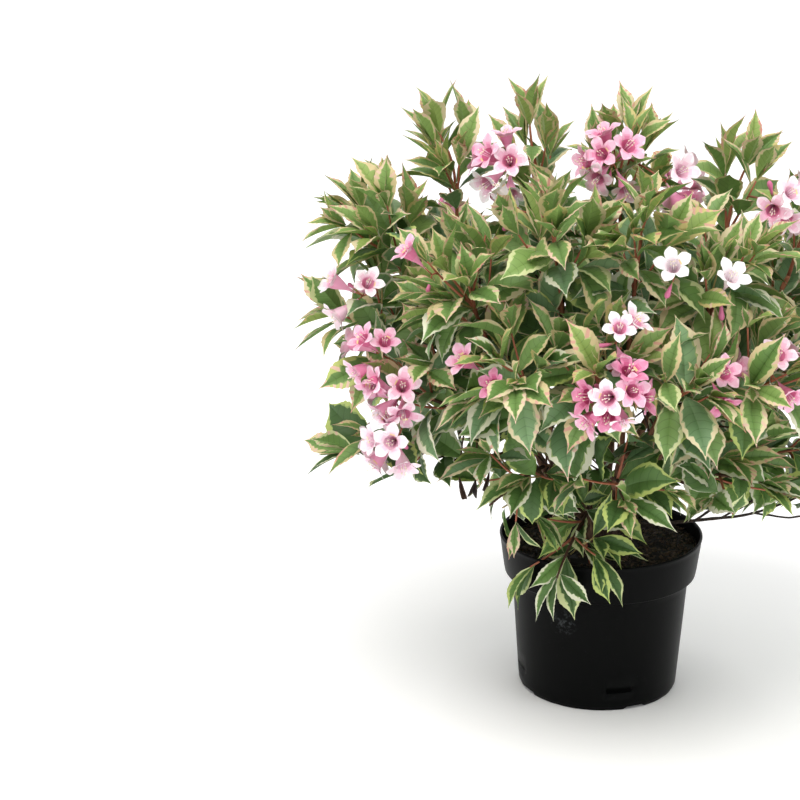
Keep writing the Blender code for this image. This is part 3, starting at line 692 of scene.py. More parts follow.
# As in the solids, except that the first cluster stands nearer the axis
BLOOMS = (
    Bloom(194, 0.116, 0.600, 4, (Tint.PINK, Tint.BLUSH, Tint.PALE)),
    Bloom(210, 0.139, 0.566, 1, (Tint.WHITE,)),
    Bloom(254, 0.062, 0.606, 4, (Tint.PINK, Tint.PALE, Tint.PINK)),
    Bloom(319, 0.092, 0.578, 2, (Tint.LILAC, Tint.PALE)),
    Bloom(214, 0.233, 0.507, 1, (Tint.PINK,)),
    Bloom(192, 0.286, 0.461, 2, (Tint.BLUSH, Tint.LILAC)),
    Bloom(201, 0.276, 0.424, 3, (Tint.PINK, Tint.PALE)),
    Bloom(207, 0.265, 0.372, 3, (Tint.PALE, Tint.BLUSH)),
    Bloom(207, 0.265, 0.304, 4, (Tint.LILAC, Tint.BLUSH)),
    Bloom(234, 0.236, 0.411, 1, (Tint.PINK,)),
    Bloom(239, 0.232, 0.378, 1, (Tint.ROSE,)),
    Bloom(266, 0.251, 0.401, 5, (Tint.BLUSH, Tint.ROSE, Tint.PINK, Tint.ROSE)),
    Bloom(270, 0.230, 0.469, 2, (Tint.BLUSH, Tint.PALE)),
    Bloom(300, 0.220, 0.500, 1, (Tint.WHITE,)),
    Bloom(286, 0.209, 0.508, 1, (Tint.WHITE,)),
    Bloom(298, 0.227, 0.406, 2, (Tint.PINK, Tint.ROSE)),
    Bloom(310, 0.235, 0.430, 2, (Tint.PALE, Tint.PINK)),
    Bloom(335, 0.191, 0.568, 3, (Tint.LILAC, Tint.PALE)),
    Bloom(20, 0.280, 0.500, 3, (Tint.PALE, Tint.PINK)),
    Bloom(60, 0.200, 0.530, 3, (Tint.BLUSH, Tint.PINK)),
    Bloom(85, 0.270, 0.440, 3, (Tint.WHITE, Tint.PALE)),
    Bloom(125, 0.260, 0.470, 4, (Tint.ROSE, Tint.PINK, Tint.BLUSH)),
    Bloom(155, 0.280, 0.400, 3, (Tint.PINK, Tint.PALE)),
    Bloom(0, 0.290, 0.330, 2, (Tint.LILAC, Tint.BLUSH)),
)


@dataclass
class Crown:
    """The squarish egg that the whole crown keeps to."""

    middle: float = 0.40
    half_width: float = 0.340
    half_depth: float = 0.318
    half_height: float = 0.296

    def holds(self, x: float, y: float, z: float) -> bool:
        """Return whether a point lies in it."""
        wide, deep = abs(x) / self.half_width, abs(y) / self.half_depth
        high = abs(z - self.middle) / self.half_height
        return wide**3 + deep**3 + high**3 < 1.0


@dataclass
class PotSizes:
    """Sizes of the round nursery pot and its soil, as in the solids."""

    height: float = 0.178
    base_radius: float = 0.0886
    wall_top_radius: float = 0.0985
    band_height: float = 0.045
    band_foot_radius: float = 0.1066
    rim_radius: float = 0.1124
    wall: float = 0.0022
    soil_edge: float = 0.1600
    soil_crown: float = 0.1655

    # How far plants keep from it, and how far the rim and its lip reach in
    CLEAR, LIP = 0.002, 0.006

    def touched(self, x: float, y: float, z: float) -> bool:
        """Return whether a point comes too near the pot or its soil."""
        away = math.hypot(x, y)
        if z > self.height + self.CLEAR or away > self.rim_radius + self.CLEAR:
            return False
        if z < self.height - self.band_height - self.CLEAR:
            return away < self.wall_top_radius + self.CLEAR
        return away > self.rim_radius - self.LIP or z < self.soil_crown + self.CLEAR


class Crowd:
    """Points of what has grown so far, in cells, to keep leaves from passing through each other."""

    CELL = 0.012

    def __init__(self) -> None:
        """Start empty."""
        self.cells: dict[tuple[int, int, int], list[tuple[float, float, float, float, int]]] = {}

    def add(self, points: np.ndarray, reach: float, owner: int) -> None:
        """Keep points that nothing may come within a distance of, except their owner.

        Args:
            points: Positions, one row each.
            reach: Distance to keep, at most one cell.
            owner: Number of the shoot that they belong to.
        """
        for x, y, z in points:
            cell = (int(x // self.CELL), int(y // self.CELL), int(z // self.CELL))
            self.cells.setdefault(cell, []).append((x, y, z, reach * reach, owner))

    def clear(self, points: np.ndarray, owner: int) -> bool:
        """Return whether points keep their distance from all that others have added.

        Args:
            points: Positions, one row each.
            owner: Number of the shoot that asks.

        Returns:
            True if nothing is too near.
        """
        for x, y, z in points:
            i, j, k = int(x // self.CELL), int(y // self.CELL), int(z // self.CELL)
            for cell in self.around(i, j, k):
                for a, b, c, limit, whose in self.cells.get(cell, ()):
                    if whose != owner and (a - x) ** 2 + (b - y) ** 2 + (c - z) ** 2 < limit:
                        return False
        return True

    @staticmethod
    def around(i: int, j: int, k: int) -> list[tuple[int, int, int]]:
        """Return a cell and its neighbours."""
        steps = (-1, 0, 1)
        return [(i + a, j + b, k + c) for a in steps for b in steps for c in steps]


# Leaves


# Colour zones of a leaf; the last is its sunk side veins, which are dealt a painted shade
BLADE, HALF, EDGE, FLUSH, VEIN_WITH_PAINTED_SHADE = range(5)


class Age(Enum):
    """Stages of a leaf, from the furled pair at a shoot's tip to an old leaf low in the shrub."""

    TIP = "tip"
    YOUNG = "young"
    GROWN = "grown"
    OLD = "old"
    DEAD = "dead"


@dataclass(frozen=True)
class Habit:
    """How leaves of one age are held: shares of length, turns in degrees and the chance of a flush."""

    width: float
    fold: float
    bend: float
    green: float
    ruffle: float
    flush: float


# Width, fold, bend, share that is green, ruffle and chance of a flushed edge
HABITS = {
    Age.TIP: Habit(0.38, 40, 8, 0.55, 0.010, 0.42),
    Age.YOUNG: Habit(0.43, 30, -16, 0.63, 0.016, 0.28),
    Age.GROWN: Habit(0.46, 20, -44, 0.73, 0.022, 0.12),
    Age.OLD: Habit(0.46, 14, -58, 0.81, 0.028, 0.04),
    Age.DEAD: Habit(0.36, 62, -130, 0.80, 0.050, 0.30),
}


@dataclass
class LeafForm:
    """One modelled leaf of unit length: finely toothed, folded and quilted, with a broken pale edge."""

    age: Age
    seed: int
    veins: int = 7
    points: np.ndarray = field(init=False)
    quads: np.ndarray = field(init=False)
    zones: np.ndarray = field(init=False)
    probes: np.ndarray = field(init=False)

    # Places along the midrib and half widths there, as shares of the length and of the greatest half width
    PLACES = (0.00, 0.06, 0.12, 0.19, 0.27, 0.38, 0.50, 0.62, 0.74, 0.84, 0.92, 1.00)
    WIDTHS = (0.022, 0.032, 0.30, 0.62, 0.88, 1.00, 0.97, 0.80, 0.51, 0.25, 0.09, 0.008)

    # How far side veins run forward, how deep they sink and how far each half arches up
    SLANT, QUILT, ARCH = 0.70, 0.0100, 0.020
    # Places of the first side vein, the step to the next, a vein's width and the bulge behind it
    FIRST_VEIN, VEIN_STEP, VEIN_WIDE, BULGE = 0.115, 0.118, 0.014, 0.066
    BEFORE_VEINS, AFTER_VEINS = 0.07, 0.945
    # Teeth stand out where a vein meets the edge and draw in between, on this stretch
    TOOTH, NOTCH = 0.035, -0.025
    TOOTHED = (0.12, 0.95)
    # Points in a row from the midrib to the edge, and rows whose outermost or first point is a probe
    ACROSS = 5
    EDGE_PROBES, MIDRIB_PROBES = (7, 12, 18), (8, 15)
    # From these places on the whole tip and the pale edge take the flushed colour
    TIP_FROM, FLUSH_FROM = 0.90, 0.78

    def __post_init__(self) -> None:
        """Work out its mesh."""
        rng = random.Random(f"{self.age.value}{self.seed}")
        habit = HABITS[self.age]
        width = habit.width * rng.uniform(0.88, 1.10) / 2
        fold = math.radians(habit.fold * rng.uniform(0.75, 1.25))
        bend = math.radians(habit.bend * rng.uniform(0.5, 1.5))
        twist = math.radians(rng.uniform(-14, 14))
        sway = rng.uniform(-0.05, 0.05)
        places, sunk = self.rows()
        spine = self.spine(places, bend, sway)
        points, quads, zones, probes = [], [], [], []
        for sign in (-1, 1):
            start = len(points)
            green = habit.green * rng.uniform(0.76, 1.12)
            phase = rng.uniform(0, 6.28)
            drift = rng.uniform(0, 6.28)
            for place, vein, (centre, up, way) in zip(places, sunk, spine):
                half = width * float(np.interp(place, self.PLACES, self.WIDTHS))
                toothed = self.TOOTHED[0] < place < self.TOOTHED[1]
                tooth = 1.0 + (self.TOOTH if vein else self.NOTCH) * toothed
                inner, outer = self.edge_of_green(green, place, vein, drift, rng)
                turn = Matrix.Rotation(twist * place, 3, way)
                forward = self.SLANT * math.sin(math.pi * place**0.8)
                for share in (0.0, inner * 0.5, inner, outer, 1.0):
                    reach = half * share * (tooth if share == 1.0 else 1.0)
                    pleat = self.QUILT * (-1.0 if vein else 0.5) * share * (1 - 0.35 * share) * (half / width)
                    pleat += self.ARCH * math.sin(math.pi * share**0.8) * (half / width)
                    wave = habit.ruffle * math.sin(9.0 * place + phase) * share * share * (half / width)
                    rise = reach * math.sin(fold) * (1 - 0.35 * share) + pleat + wave
                    side = Vector((sign * reach * math.cos(fold), 0.0, 0.0))
                    along = forward * reach * (0.60 + 0.40 * share)
                    points.append(centre + way * along + turn @ (side + up * rise))
            for row, place in enumerate(places[:-1]):
                strip = sunk[row] and sunk[row + 1]
                if not strip:
                    flushed = rng.random() < habit.flush
                for column in range(self.ACROSS - 1):
                    a = start + row * self.ACROSS + column
                    b = a + self.ACROSS
                    corners = (a, a + 1, b + 1, b)
                    quads.append(corners if sign > 0 else corners[::-1])
                    # The inner faces of a sunk vein strip take the painted vein shade
                    zones.append(VEIN_WITH_PAINTED_SHADE if strip and column < 2 else self.zone(column, place, flushed))
            probes += [start + (row + 1) * self.ACROSS - 1 for row in self.EDGE_PROBES]
        probes += [row * self.ACROSS for row in (*self.MIDRIB_PROBES, len(places) - 1)]
        self.points = rows_of(points)
        self.quads = np.array(quads)
        self.zones = np.array(zones)
        self.probes = self.points[probes]

    def rows(self) -> tuple[list[float], list[bool]]:
        """Lay out the rows: each side vein is a narrow sunk strip, and the blade bulges between veins.

        Returns:
            Each row's place along the midrib, and whether it bounds a vein.
        """
        places, sunk = [0.0, self.BEFORE_VEINS], [False, False]
        for number in range(self.veins):
            place = self.FIRST_VEIN + self.VEIN_STEP * number
            places += [place, place + self.VEIN_WIDE, place + self.BULGE]
            sunk += [True, True, False]
        return places + [self.AFTER_VEINS, 1.0], sunk + [False, False]

    @staticmethod
    def spine(places: list[float], bend: float, sway: float) -> list[tuple[Vector, Vector, Vector]]:
        """Bend the midrib.

        Args:
            places: Shares of the length.
            bend: Whole turn from root to tip, in radians, below zero where it arches down.
            sway: Sideways swing of the tip as a share of the length.

        Returns:
            Point, upward direction and forward direction at each place.
        """
        made = []
        spot = Vector((0.0, 0.0, 0.0))
        before = 0.0
        for place in places:
            turn = bend * place**1.6
            way = Vector((0.0, math.cos(turn), math.sin(turn)))
            spot = spot + way * (place - before)
            before = place
            up = Vector((0.0, -math.sin(turn), math.cos(turn)))
            made.append((spot + Vector((sway * place * place, 0.0, 0.0)), up, way))
        return made

    @staticmethod
    def edge_of_green(
        green: float, place: float, vein: bool, drift: float, rng: random.Random
    ) -> tuple[float, float]:
        """Say how far the green reaches from the midrib at one row.

        Args:
            green: Share of the half width that is green midway along the leaf.
            place: Share of the length.
            vein: Whether a side vein runs here, which carries the green further out.
            drift: Where the edge starts in its slow wander, in radians.
            rng: Source of chance.

        Returns:
            Where the green ends and where the pale edge begins, as shares of the half width.
        """
        wander = 0.06 * math.sin(11 * place + drift) + 0.035 * math.sin(27 * place + 2.3 * drift)
        reach = green * (1.14 - 0.30 * place) + wander + rng.uniform(-0.045, 0.045)
        reach += 0.06 if vein else -0.025
        if rng.random() < 0.06:
            reach -= rng.uniform(0.10, 0.26)
        inner = min(max(reach, 0.18), 0.94)
        return inner, min(inner + rng.choice((0.02, 0.04, 0.08, 0.14)), 0.97)

    def zone(self, column: int, place: float, flushed: bool) -> int:
        """Deal a face its colour zone by its column and its place along the leaf."""
        if place > self.TIP_FROM:
            return FLUSH
        if column == self.ACROSS - 2:
            return FLUSH if place > self.FLUSH_FROM or flushed else EDGE
        return max(column - 1, BLADE)


@dataclass(frozen=True)
class Livery:
    """Shades that a spray's leaves are dealt from."""

    blades: tuple[int, ...]
    halves: tuple[int, ...]
    edges: tuple[int, ...]
    flushes: tuple[int, ...]


LIVERIES = {
    "sunlit": Livery((0, 1, 1, 2), (0, 2), (0, 1, 2), (0, 1, 2)),
    "upper": Livery((1, 2, 2, 3), (0, 2, 3), (0, 1, 1, 5), (0, 2)),
    "milky": Livery((6, 7, 3), (1, 2), (4, 0, 4), (0, 2)),
    "middle": Livery((2, 3, 4, 7), (2, 3, 1), (0, 4, 5, 3), (2,)),
    "low": Livery((4, 5, 5, 3), (3, 2), (3, 3, 5, 4), (2,)),
}


class Foliage:
    """All leaves: a set of leaf forms, and the sprays that they are dealt out to."""

    FORMS = 10
    FLUSH_CHANCE = {Age.TIP: 0.85, Age.YOUNG: 0.70, Age.GROWN: 0.20, Age.OLD: 0.20}

    def __init__(self) -> None:
        """Model the leaf forms."""
        self.forms = {age: [LeafForm(age, n) for n in range(self.FORMS)] for age in Age}
        self.finishes = [t.build() for t in (*BLADES, *VEIN_PAINTED_SHADES, *HALVES, *EDGES, *FLUSHES, *WITHERED)]
        self.half_from = len(BLADES) + len(VEIN_PAINTED_SHADES)
        self.edge_from = self.half_from + len(HALVES)
        self.flush_from = self.edge_from + len(EDGES)
        self.dead_from = self.flush_from + len(FLUSHES)
        self.batches: dict[str, Batch] = {}
        self.count = 0

    def shades(self, age: Age, livery: str, rng: random.Random) -> np.ndarray:
        """Deal one leaf its five shades.

        Args:
            age: Age of the leaf.
            livery: Name of its spray's livery.
            rng: Source of chance.

        Returns:
            Material slots of the five zones.
        """
        if age is Age.DEAD:
            return self.dead_from + np.array([rng.randrange(len(WITHERED)) for _ in range(VEIN_WITH_PAINTED_SHADE + 1)])
        kit = LIVERIES[livery]
        edge = self.edge_from + rng.choice(kit.edges)
        flushed = rng.random() < self.FLUSH_CHANCE[age]
        flush = self.flush_from + rng.choice(kit.flushes) if flushed and livery != "low" else edge
        blade = rng.choice(kit.blades)
        half = self.half_from + rng.choice(kit.halves)
        # The fifth zone, the sunk veins, takes the blade's green darkened as painted shade
        return np.array([blade, half, edge, flush, blade + len(BLADES)])

    def place(
        self, name: str, form: LeafForm, frame3: np.ndarray, root: np.ndarray, shades: np.ndarray
    ) -> None:
        """Put one leaf in a piece's batch.

        Args:
            name: The piece's name.
            form: Leaf form.
            frame3: Columns are its side, way and upper directions times its length.
            root: Where it leaves the twig.
            shades: Material slots of its zones.
        """
        batch = self.batches.setdefault(name, Batch())
        batch.add(form.points @ frame3.T + root, form.quads, shades[form.zones])
        self.count += 1


# Blossom


# Colour zones of a flower: lobes from 0 at the tip to 6 at the mouth, and then these
THROAT, FUNNEL, GUIDE_MARK, STAMEN = 7, 8, 9, 10
LOBES = 5


@dataclass
class FlowerForm:
    """One open flower on +Z from its foot: narrow tube, throat, five spreading lobes and stamens."""

    seed: int
    tube_length: float = 0.0250
    mouth: float = 0.0072
    lobe: float = 0.0138
    lobe_half: float = 0.0061
    points: np.ndarray = field(init=False)
    quads: np.ndarray = field(init=False)
    zones: np.ndarray = field(init=False)

    # Rings of the tube below its mouth: share of its length and radius, and how many points each has
    RINGS = ((0.0, 0.0011), (0.24, 0.0014), (0.44, 0.0027), (0.64, 0.0046), (0.84, 0.0063))
    SIDES = 15
    CREASE = 0.06
    # Rows of a lobe: shares of its length, shares of its half width, and colour zones between rows
    LOBE_SHARES = (0.0, 0.14, 0.28, 0.42, 0.56, 0.70, 0.82, 0.92, 1.0)
    LOBE_WIDTHS = (0.80, 0.86, 0.95, 1.00, 1.00, 0.86, 0.62, 0.33, 0.05)
    LOBE_ZONES = (6, 5, 4, 3, 2, 2, 1, 0)
    STEPS = (-1.0, -0.5, 0.0, 0.5, 1.0)
    # How deep a lobe is cupped and ruffled
    CUP, RUFFLE = 0.0012, 0.00045
    # Radii of a filament along its length, and of an anther's middle and ends
    FILAMENT = [0.00032, 0.00028, 0.00024]
    POLLEN = [0.0003, 0.00085, 0.0003]
    ANTHER_HALF, STIGMA_HALF = 0.0014, 0.0011
    STYLE_PAST_MOUTH = 0.0105

    def __post_init__(self) -> None:
        """Work out its mesh."""
        rng = random.Random(f"flower{self.seed}")
        batch = Batch()
        flare = math.radians(rng.uniform(46, 76))
        self.add_tube(batch)
        for number in range(LOBES):
            self.add_lobe(batch, number, flare * rng.uniform(0.86, 1.12), rng)
        self.add_stamens(batch, rng)
        self.points = np.concatenate(batch.points)
        self.quads = np.concatenate(batch.quads)
        self.zones = np.concatenate(batch.slots)

    def add_tube(self, batch: Batch) -> None:
        """Add the funnel from the foot to the mouth."""
        rings = (*self.RINGS, (1.0, self.mouth))
        points = []
        for share, radius in rings:
            for corner in range(self.SIDES):
                turn = 2 * math.pi * corner / self.SIDES
                crease = 1.0 + self.CREASE * math.cos(LOBES * turn)
                x, y = radius * crease * math.cos(turn), radius * crease * math.sin(turn)
                points.append((x, y, share * self.tube_length))
        quads = grid_quads(len(rings), self.SIDES, True)
        zones = np.repeat([FUNNEL] * 3 + [THROAT] * 2, self.SIDES)
        batch.add(np.array(points), quads, zones)

    def add_lobe(self, batch: Batch, number: int, flare: float, rng: random.Random) -> None:
        """Add one lobe.

        Args:
            batch: What takes it.
            number: Its place round the mouth.
            flare: Turn away from the tube's line, in radians.
            rng: Source of chance.
        """
        middle = 2 * math.pi * number / LOBES
        out = Vector((math.cos(middle), math.sin(middle), 0.0))
        side = Vector((-math.sin(middle), math.cos(middle), 0.0))
        length = self.lobe * rng.uniform(0.90, 1.08)
        twist = rng.uniform(-0.25, 0.25)
        curl = rng.uniform(0.15, 0.60)
        points = []
        spot = out * (self.mouth * 0.94) + UP * (self.tube_length * 0.985)
        before = 0.0
        for share, wide in zip(self.LOBE_SHARES, self.LOBE_WIDTHS):
            turn = flare * min(1.0, 0.45 + share) + curl * share * share
            spot = spot + (out * math.sin(turn) + UP * math.cos(turn)) * (length * (share - before))
            before = share
            up = UP * math.sin(turn) - out * math.cos(turn)
            for step in self.STEPS:
                tangent = side * math.cos(twist * share) + up * math.sin(twist * share)
                ruffle = self.RUFFLE * math.sin(11 * share + 3 * step + number) * abs(step)
                cup = up * (self.CUP * (step * step) * (1 - share) - ruffle)
                points.append(spot + tangent * (self.lobe_half * wide * step) + cup)
        quads = grid_quads(len(self.LOBE_SHARES), len(self.STEPS), False)
        columns = len(self.STEPS) - 1
        dealt = np.repeat(self.LOBE_ZONES, columns)
        # Each lobe pales towards its two edges
        for edge in (0, columns - 1):
            dealt[edge::columns] = np.maximum(dealt[edge::columns] - 2, 0)
        if number == 0:
            dealt[[1, 2]] = GUIDE_MARK
        batch.add(rows_of(points), quads, dealt)

    def add_stamens(self, batch: Batch, rng: random.Random) -> None:
        """Add five stamens and a style."""
        for number in range(LOBES + 1):
            style = number == LOBES
            turn = 2 * math.pi * number / LOBES + 0.6
            lean = 0.0 if style else rng.uniform(0.0020, 0.0034)
            reach = self.tube_length + (self.STYLE_PAST_MOUTH if style else rng.uniform(0.0035, 0.0075))
            way = Vector((math.cos(turn), math.sin(turn), 0.0))
            foot = way * (lean * 0.5) + UP * (self.tube_length * 0.5)
            head = way * lean + UP * reach
            batch.add(*tube([foot, foot.lerp(head, 0.6), head], self.FILAMENT, 3), 0)
            half = self.STIGMA_HALF if style else self.ANTHER_HALF
            batch.add(*tube([head - UP * half, head, head + UP * half], self.POLLEN, 4), STAMEN)


@dataclass
class BudForm:
    """One closed bud on +Z: slim stalk, swollen club and a blunt tip."""

    length: float = 0.019

    HEIGHTS = (0.0, 0.25, 0.55, 0.78, 0.94, 1.0)
    RADII = [0.0011, 0.0014, 0.0024, 0.0033, 0.0023, 0.0007]

    def shape(self) -> tuple:
        """Return its points, faces and zones."""
        path = [UP * (h * self.length) for h in self.HEIGHTS]
        points, quads = tube(path, self.RADII, 7)
        return points, quads, np.full(len(quads), FUNNEL)


class Blossom:
    """All flower clusters, in one batch."""

    FORMS = 7
    # A sepal's foot leaves the stalk here and is this wide, and its tip ends this far up and out
    SEPAL_FOOT, SEPAL_HALF = 0.0009, 0.0008
    SEPAL_UP, SEPAL_OUT = 0.0065, 0.0026

    def __init__(self) -> None:
        """Model the flower forms."""
        self.forms = [FlowerForm(n) for n in range(self.FORMS)]
        self.bud = BudForm().shape()
        self.finishes = [t.build() for t in (*PETALS, GUIDE, ANTHER, SEPAL)]
        self.batch = Batch()
        self.flowers = 0

    def slots(self, tint: Tint) -> np.ndarray:
        """Return the material slots of a tint's zones."""
        tip, mouth, throat, tube_shade = tint.value
        lobe = [round(tip + (mouth - tip) * zone / (THROAT - 1)) for zone in range(THROAT)]
        return np.array([*lobe, throat, tube_shade, len(PETALS), len(PETALS) + 1])

    def put(self, shape: tuple, root: Vector, way: Vector, turn: float, size: float, tint: Tint) -> None:
        """Put a flower or bud in the batch.

        Args:
            shape: Points, faces and zones.
            root: Its foot.
            way: Direction that it faces.
            turn: Turn round that direction, in radians.
            size: Scale, one for life size.
            tint: Its colours.
        """
        points, quads, zones = shape
        frame3 = frame_from(way, turn)
        placed = (points * size) @ frame3.T + np.array(root)
        self.batch.add(placed, quads, self.slots(tint)[zones])

    def calyx(self, root: Vector, way: Vector) -> None:
        """Add five narrow sepals round a flower's foot."""
        side = square_to(way, UP)
        other = way.cross(side)
        for number in range(LOBES):
            turn = 2 * math.pi * number / LOBES
            out = side * math.cos(turn) + other * math.sin(turn)
            cross = way.cross(out) * self.SEPAL_HALF
            base = root + out * self.SEPAL_FOOT
            tip = root + way * self.SEPAL_UP + out * self.SEPAL_OUT
            points = rows_of([base + cross, base - cross, tip])
            self.batch.add(points, np.array([[0, 1, 2, 2]]), len(PETALS) + 2)


def frame_from(way: Vector, turn: float) -> np.ndarray:
    """Return the axes of a shape whose +Z points along a direction.

    Args:
        way: Unit direction.
        turn: Turn round it, in radians.

    Returns:
        Three by three array whose columns are the axes.
    """
    side = square_to(way, UP)
    side = Matrix.Rotation(turn, 3, way) @ side
    other = way.cross(side)
    return rows_of([side, other, way]).T


# Growth


@dataclass
class Limb:
    """A bough's centre line and its thickness along it."""

    path: list[Vector]
    radii: list[float]

    def at(self, share: float) -> tuple[Vector, Vector, float]:
        """Return the point, direction and radius at a share of its length."""
        spot = share * (len(self.path) - 1)
        step = min(int(spot), len(self.path) - 2)
        part = spot - step
        way = (self.path[step + 1] - self.path[step]).normalized()
        radius = self.radii[step] * (1 - part) + self.radii[step + 1] * part
        return self.path[step].lerp(self.path[step + 1], part), way, radius


@dataclass
class Stems:
    """The woody frame: stool, boughs and the bare dead twig."""

    stool_foot: float = 0.1658
    stool_flare: float = 0.0240
    stool_height: float = 0.0300
    root_rise: float = 0.012
    stub_reach: float = 0.0400
    ring_step: float = 0.004
    main_foot_radius: float = 0.0050
    side_foot_radius: float = 0.0033
    tip_radius: float = 0.0024
    dead_azimuth: float = 350.0
    dead_length: float = 0.205
    dead_radius: float = 0.0022
    steps: int = 20
    limbs: dict[str, Limb] = field(default_factory=dict)

    RING_LIFT = {"inner": 74.0, "outer": 42.0, "low": 12.0}
    # A stub whose mass stands over the axis leaves to this azimuth
    CENTRE_STUB, OVER_AXIS = 262.0, 0.05
    # The stool's section, and the radii of its stubs and of the boughs' feet inside them
    HEIGHTS = (0.0, 0.10, 0.30, 0.60, 0.85, 1.05, 1.15)
    WIDTHS = (1.0, 0.93, 0.76, 0.64, 0.56, 0.40, 0.16)
    STUB, STUB_TAPER = 0.0078, 0.0022
    DEAD_STUB, DEAD_STUB_TAPER = 0.0056, 0.0012
    HIDDEN_FEET = [0.0062, 0.0056]
    # Shares of the radius by which skins swell and sink
    STOOL_LUMPS, STUB_LUMPS, BOUGH_LUMPS, TWIG_LUMPS = 0.22, 0.18, 0.16, 0.15
    # How deep the stool's skin splits and how far it bulges
    SPLITS, BUMPS = 0.0007, 0.0010
    # Joints on a bough: distance, swelling and sharpness, and how far it wanders between its ends
    JOINT_STEP, JOINT_SWELL, JOINT_SHARP, WANDER = 0.034, 0.16, 9, 0.0022
    # The dead twig's rise at its foot and at its end, its swing between them and its end radius
    DEAD_LIFTS, DEAD_SWING, DEAD_END = (17.0, 34.0), 8, 0.0009
    # Share along it, turn in degrees and length of each fork
    DEAD_FORKS = ((0.30, 34.0, 0.075), (0.45, 26.0, 0.085), (0.62, -24.0, 0.075), (0.80, 30.0, 0.045))

    def root(self) -> Vector:
        """Return the point that all stubs leave from."""
        return UP * (self.stool_foot + self.root_rise)

    def stub(self, azimuth: float, carrier: str) -> tuple[Vector, Vector]:
        """Return the end and direction of a stub of one of the stool's rings."""
        way = heading(azimuth, self.RING_LIFT[carrier])
        return self.root() + way * self.stub_reach, way

    def stub_of(self, mass: Mass) -> tuple[Vector, Vector]:
        """Return the end and direction of the stub that a mass's bough stands on."""
        return self.stub(mass.azimuth if mass.reach > self.OVER_AXIS else self.CENTRE_STUB, mass.carrier)

    def lay_out(self) -> None:
        """Work out every bough's centre line."""
        for mass in sorted(MASSES, key=lambda m: m.carrier not in self.RING_LIFT):
            if mass.carrier in self.RING_LIFT:
                start, way = self.stub_of(mass)
                foot = self.main_foot_radius
            else:
                spot, along, _ = self.limbs[mass.carrier].at(mass.off_at)
                way = square_to(along, mass.foot() - spot)
                start = spot
                foot = self.side_foot_radius
            path, radii = [], []
            for step in range(self.steps + 1):
                share = step / self.steps
                path.append(bezier(start, way, mass.foot(), mass.axis(), share))
                radii.append(foot + (self.tip_radius - foot) * share**0.8)
            self.limbs[mass.name] = Limb(path, radii)

    def bough_batch(self) -> Batch:
        """Return all boughs with knots and ridges, main ones with the stub that carries them."""
        batch = Batch()
        for number, mass in enumerate(MASSES):
            limb = self.limbs[mass.name]
            path, radii = list(limb.path), list(limb.radii)
            if mass.carrier in self.RING_LIFT:
                head = self.root() + (path[0] - self.root()) * 0.35
                path = [head, head.lerp(path[0], 0.5)] + path
                radii = self.HIDDEN_FEET + radii
            batch.add(*tube(*self.refine(path, radii, number), 10, self.BOUGH_LUMPS, number * 3.7), 0)
        return batch

    def refine(self, path: list[Vector], radii: list[float], seed: float) -> tuple[list, list]:
        """Divide a stem finely, with a swelling at each joint and a little wander.

        Args:
            path: Its middle.
            radii: Its radii.
            seed: Place in the noise that it wanders by.

        Returns:
            Finer path and radii.
        """
        length = sum((b - a).length for a, b in zip(path, path[1:]))
        rings = max(6, round(length / self.ring_step))
        stem = Limb(path, radii)
        points, sizes = [], []
        for ring in range(rings + 1):
            share = ring / rings
            point, _, radius = stem.at(share)
            ease = math.sin(math.pi * share)
            wander = noise.noise_vector(Vector((seed * 5.3, share * 6.0, 1.7))) * (self.WANDER * ease)
            off = (share * length / self.JOINT_STEP) % 1.0 - 0.5
            points.append(point + wander)
            sizes.append(radius * (1.0 + self.JOINT_SWELL * math.exp(-((off * self.JOINT_SHARP) ** 2))))
        return points, sizes

    def stool_piece(self) -> bpy.types.Object:
        """Return the lumpy woody foot that the stems leave from."""
        batch = Batch()
        foot = UP * self.stool_foot
        path = [foot + UP * (h * self.stool_height) for h in self.HEIGHTS]
        batch.add(*tube(path, [w * self.stool_flare for w in self.WIDTHS], 24, self.STOOL_LUMPS, 2.0), 0)
        for number, mass in enumerate(m for m in MASSES if m.carrier in self.RING_LIFT):
            end, way = self.stub_of(mass)
            start = self.root() - way * 0.004
            spine = [start.lerp(end, k / 8) for k in range(9)]
            radii = [self.STUB - self.STUB_TAPER * k / 8 for k in range(9)]
            batch.add(*tube(spine, radii, 12, self.STUB_LUMPS, number * 2.3), 0)
        end, way = self.stub(self.dead_azimuth, "low")
        spine = [self.root().lerp(end, k / 6) for k in range(7)]
        radii = [self.DEAD_STUB - self.DEAD_STUB_TAPER * k / 6 for k in range(7)]
        batch.add(*tube(spine, radii, 10, self.TWIG_LUMPS, 9.1), 0)
        rough = batch.piece("stool_wood", [])
        melt = rough.modifiers.new("Melt", "REMESH")
        melt.mode = "VOXEL"
        melt.voxel_size = 0.0013
        soften = rough.modifiers.new("Soften", "SMOOTH")
        soften.factor = 0.5
        soften.iterations = 3
        mesh = melted(rough)
        for vertex in mesh.vertices:
            place = vertex.co
            split = noise.noise(Vector((place.x * 320, place.y * 320, place.z * 70)))
            lump = noise.noise(place * 90)
            vertex.co = place + vertex.normal * (self.SPLITS * split + self.BUMPS * lump)
            vertex.co.z = max(vertex.co.z, self.stool_foot)
        for polygon in mesh.polygons:
            polygon.use_smooth = True
        mesh.materials.append(STOOL_BARK.build())
        return show("stool_wood", mesh)

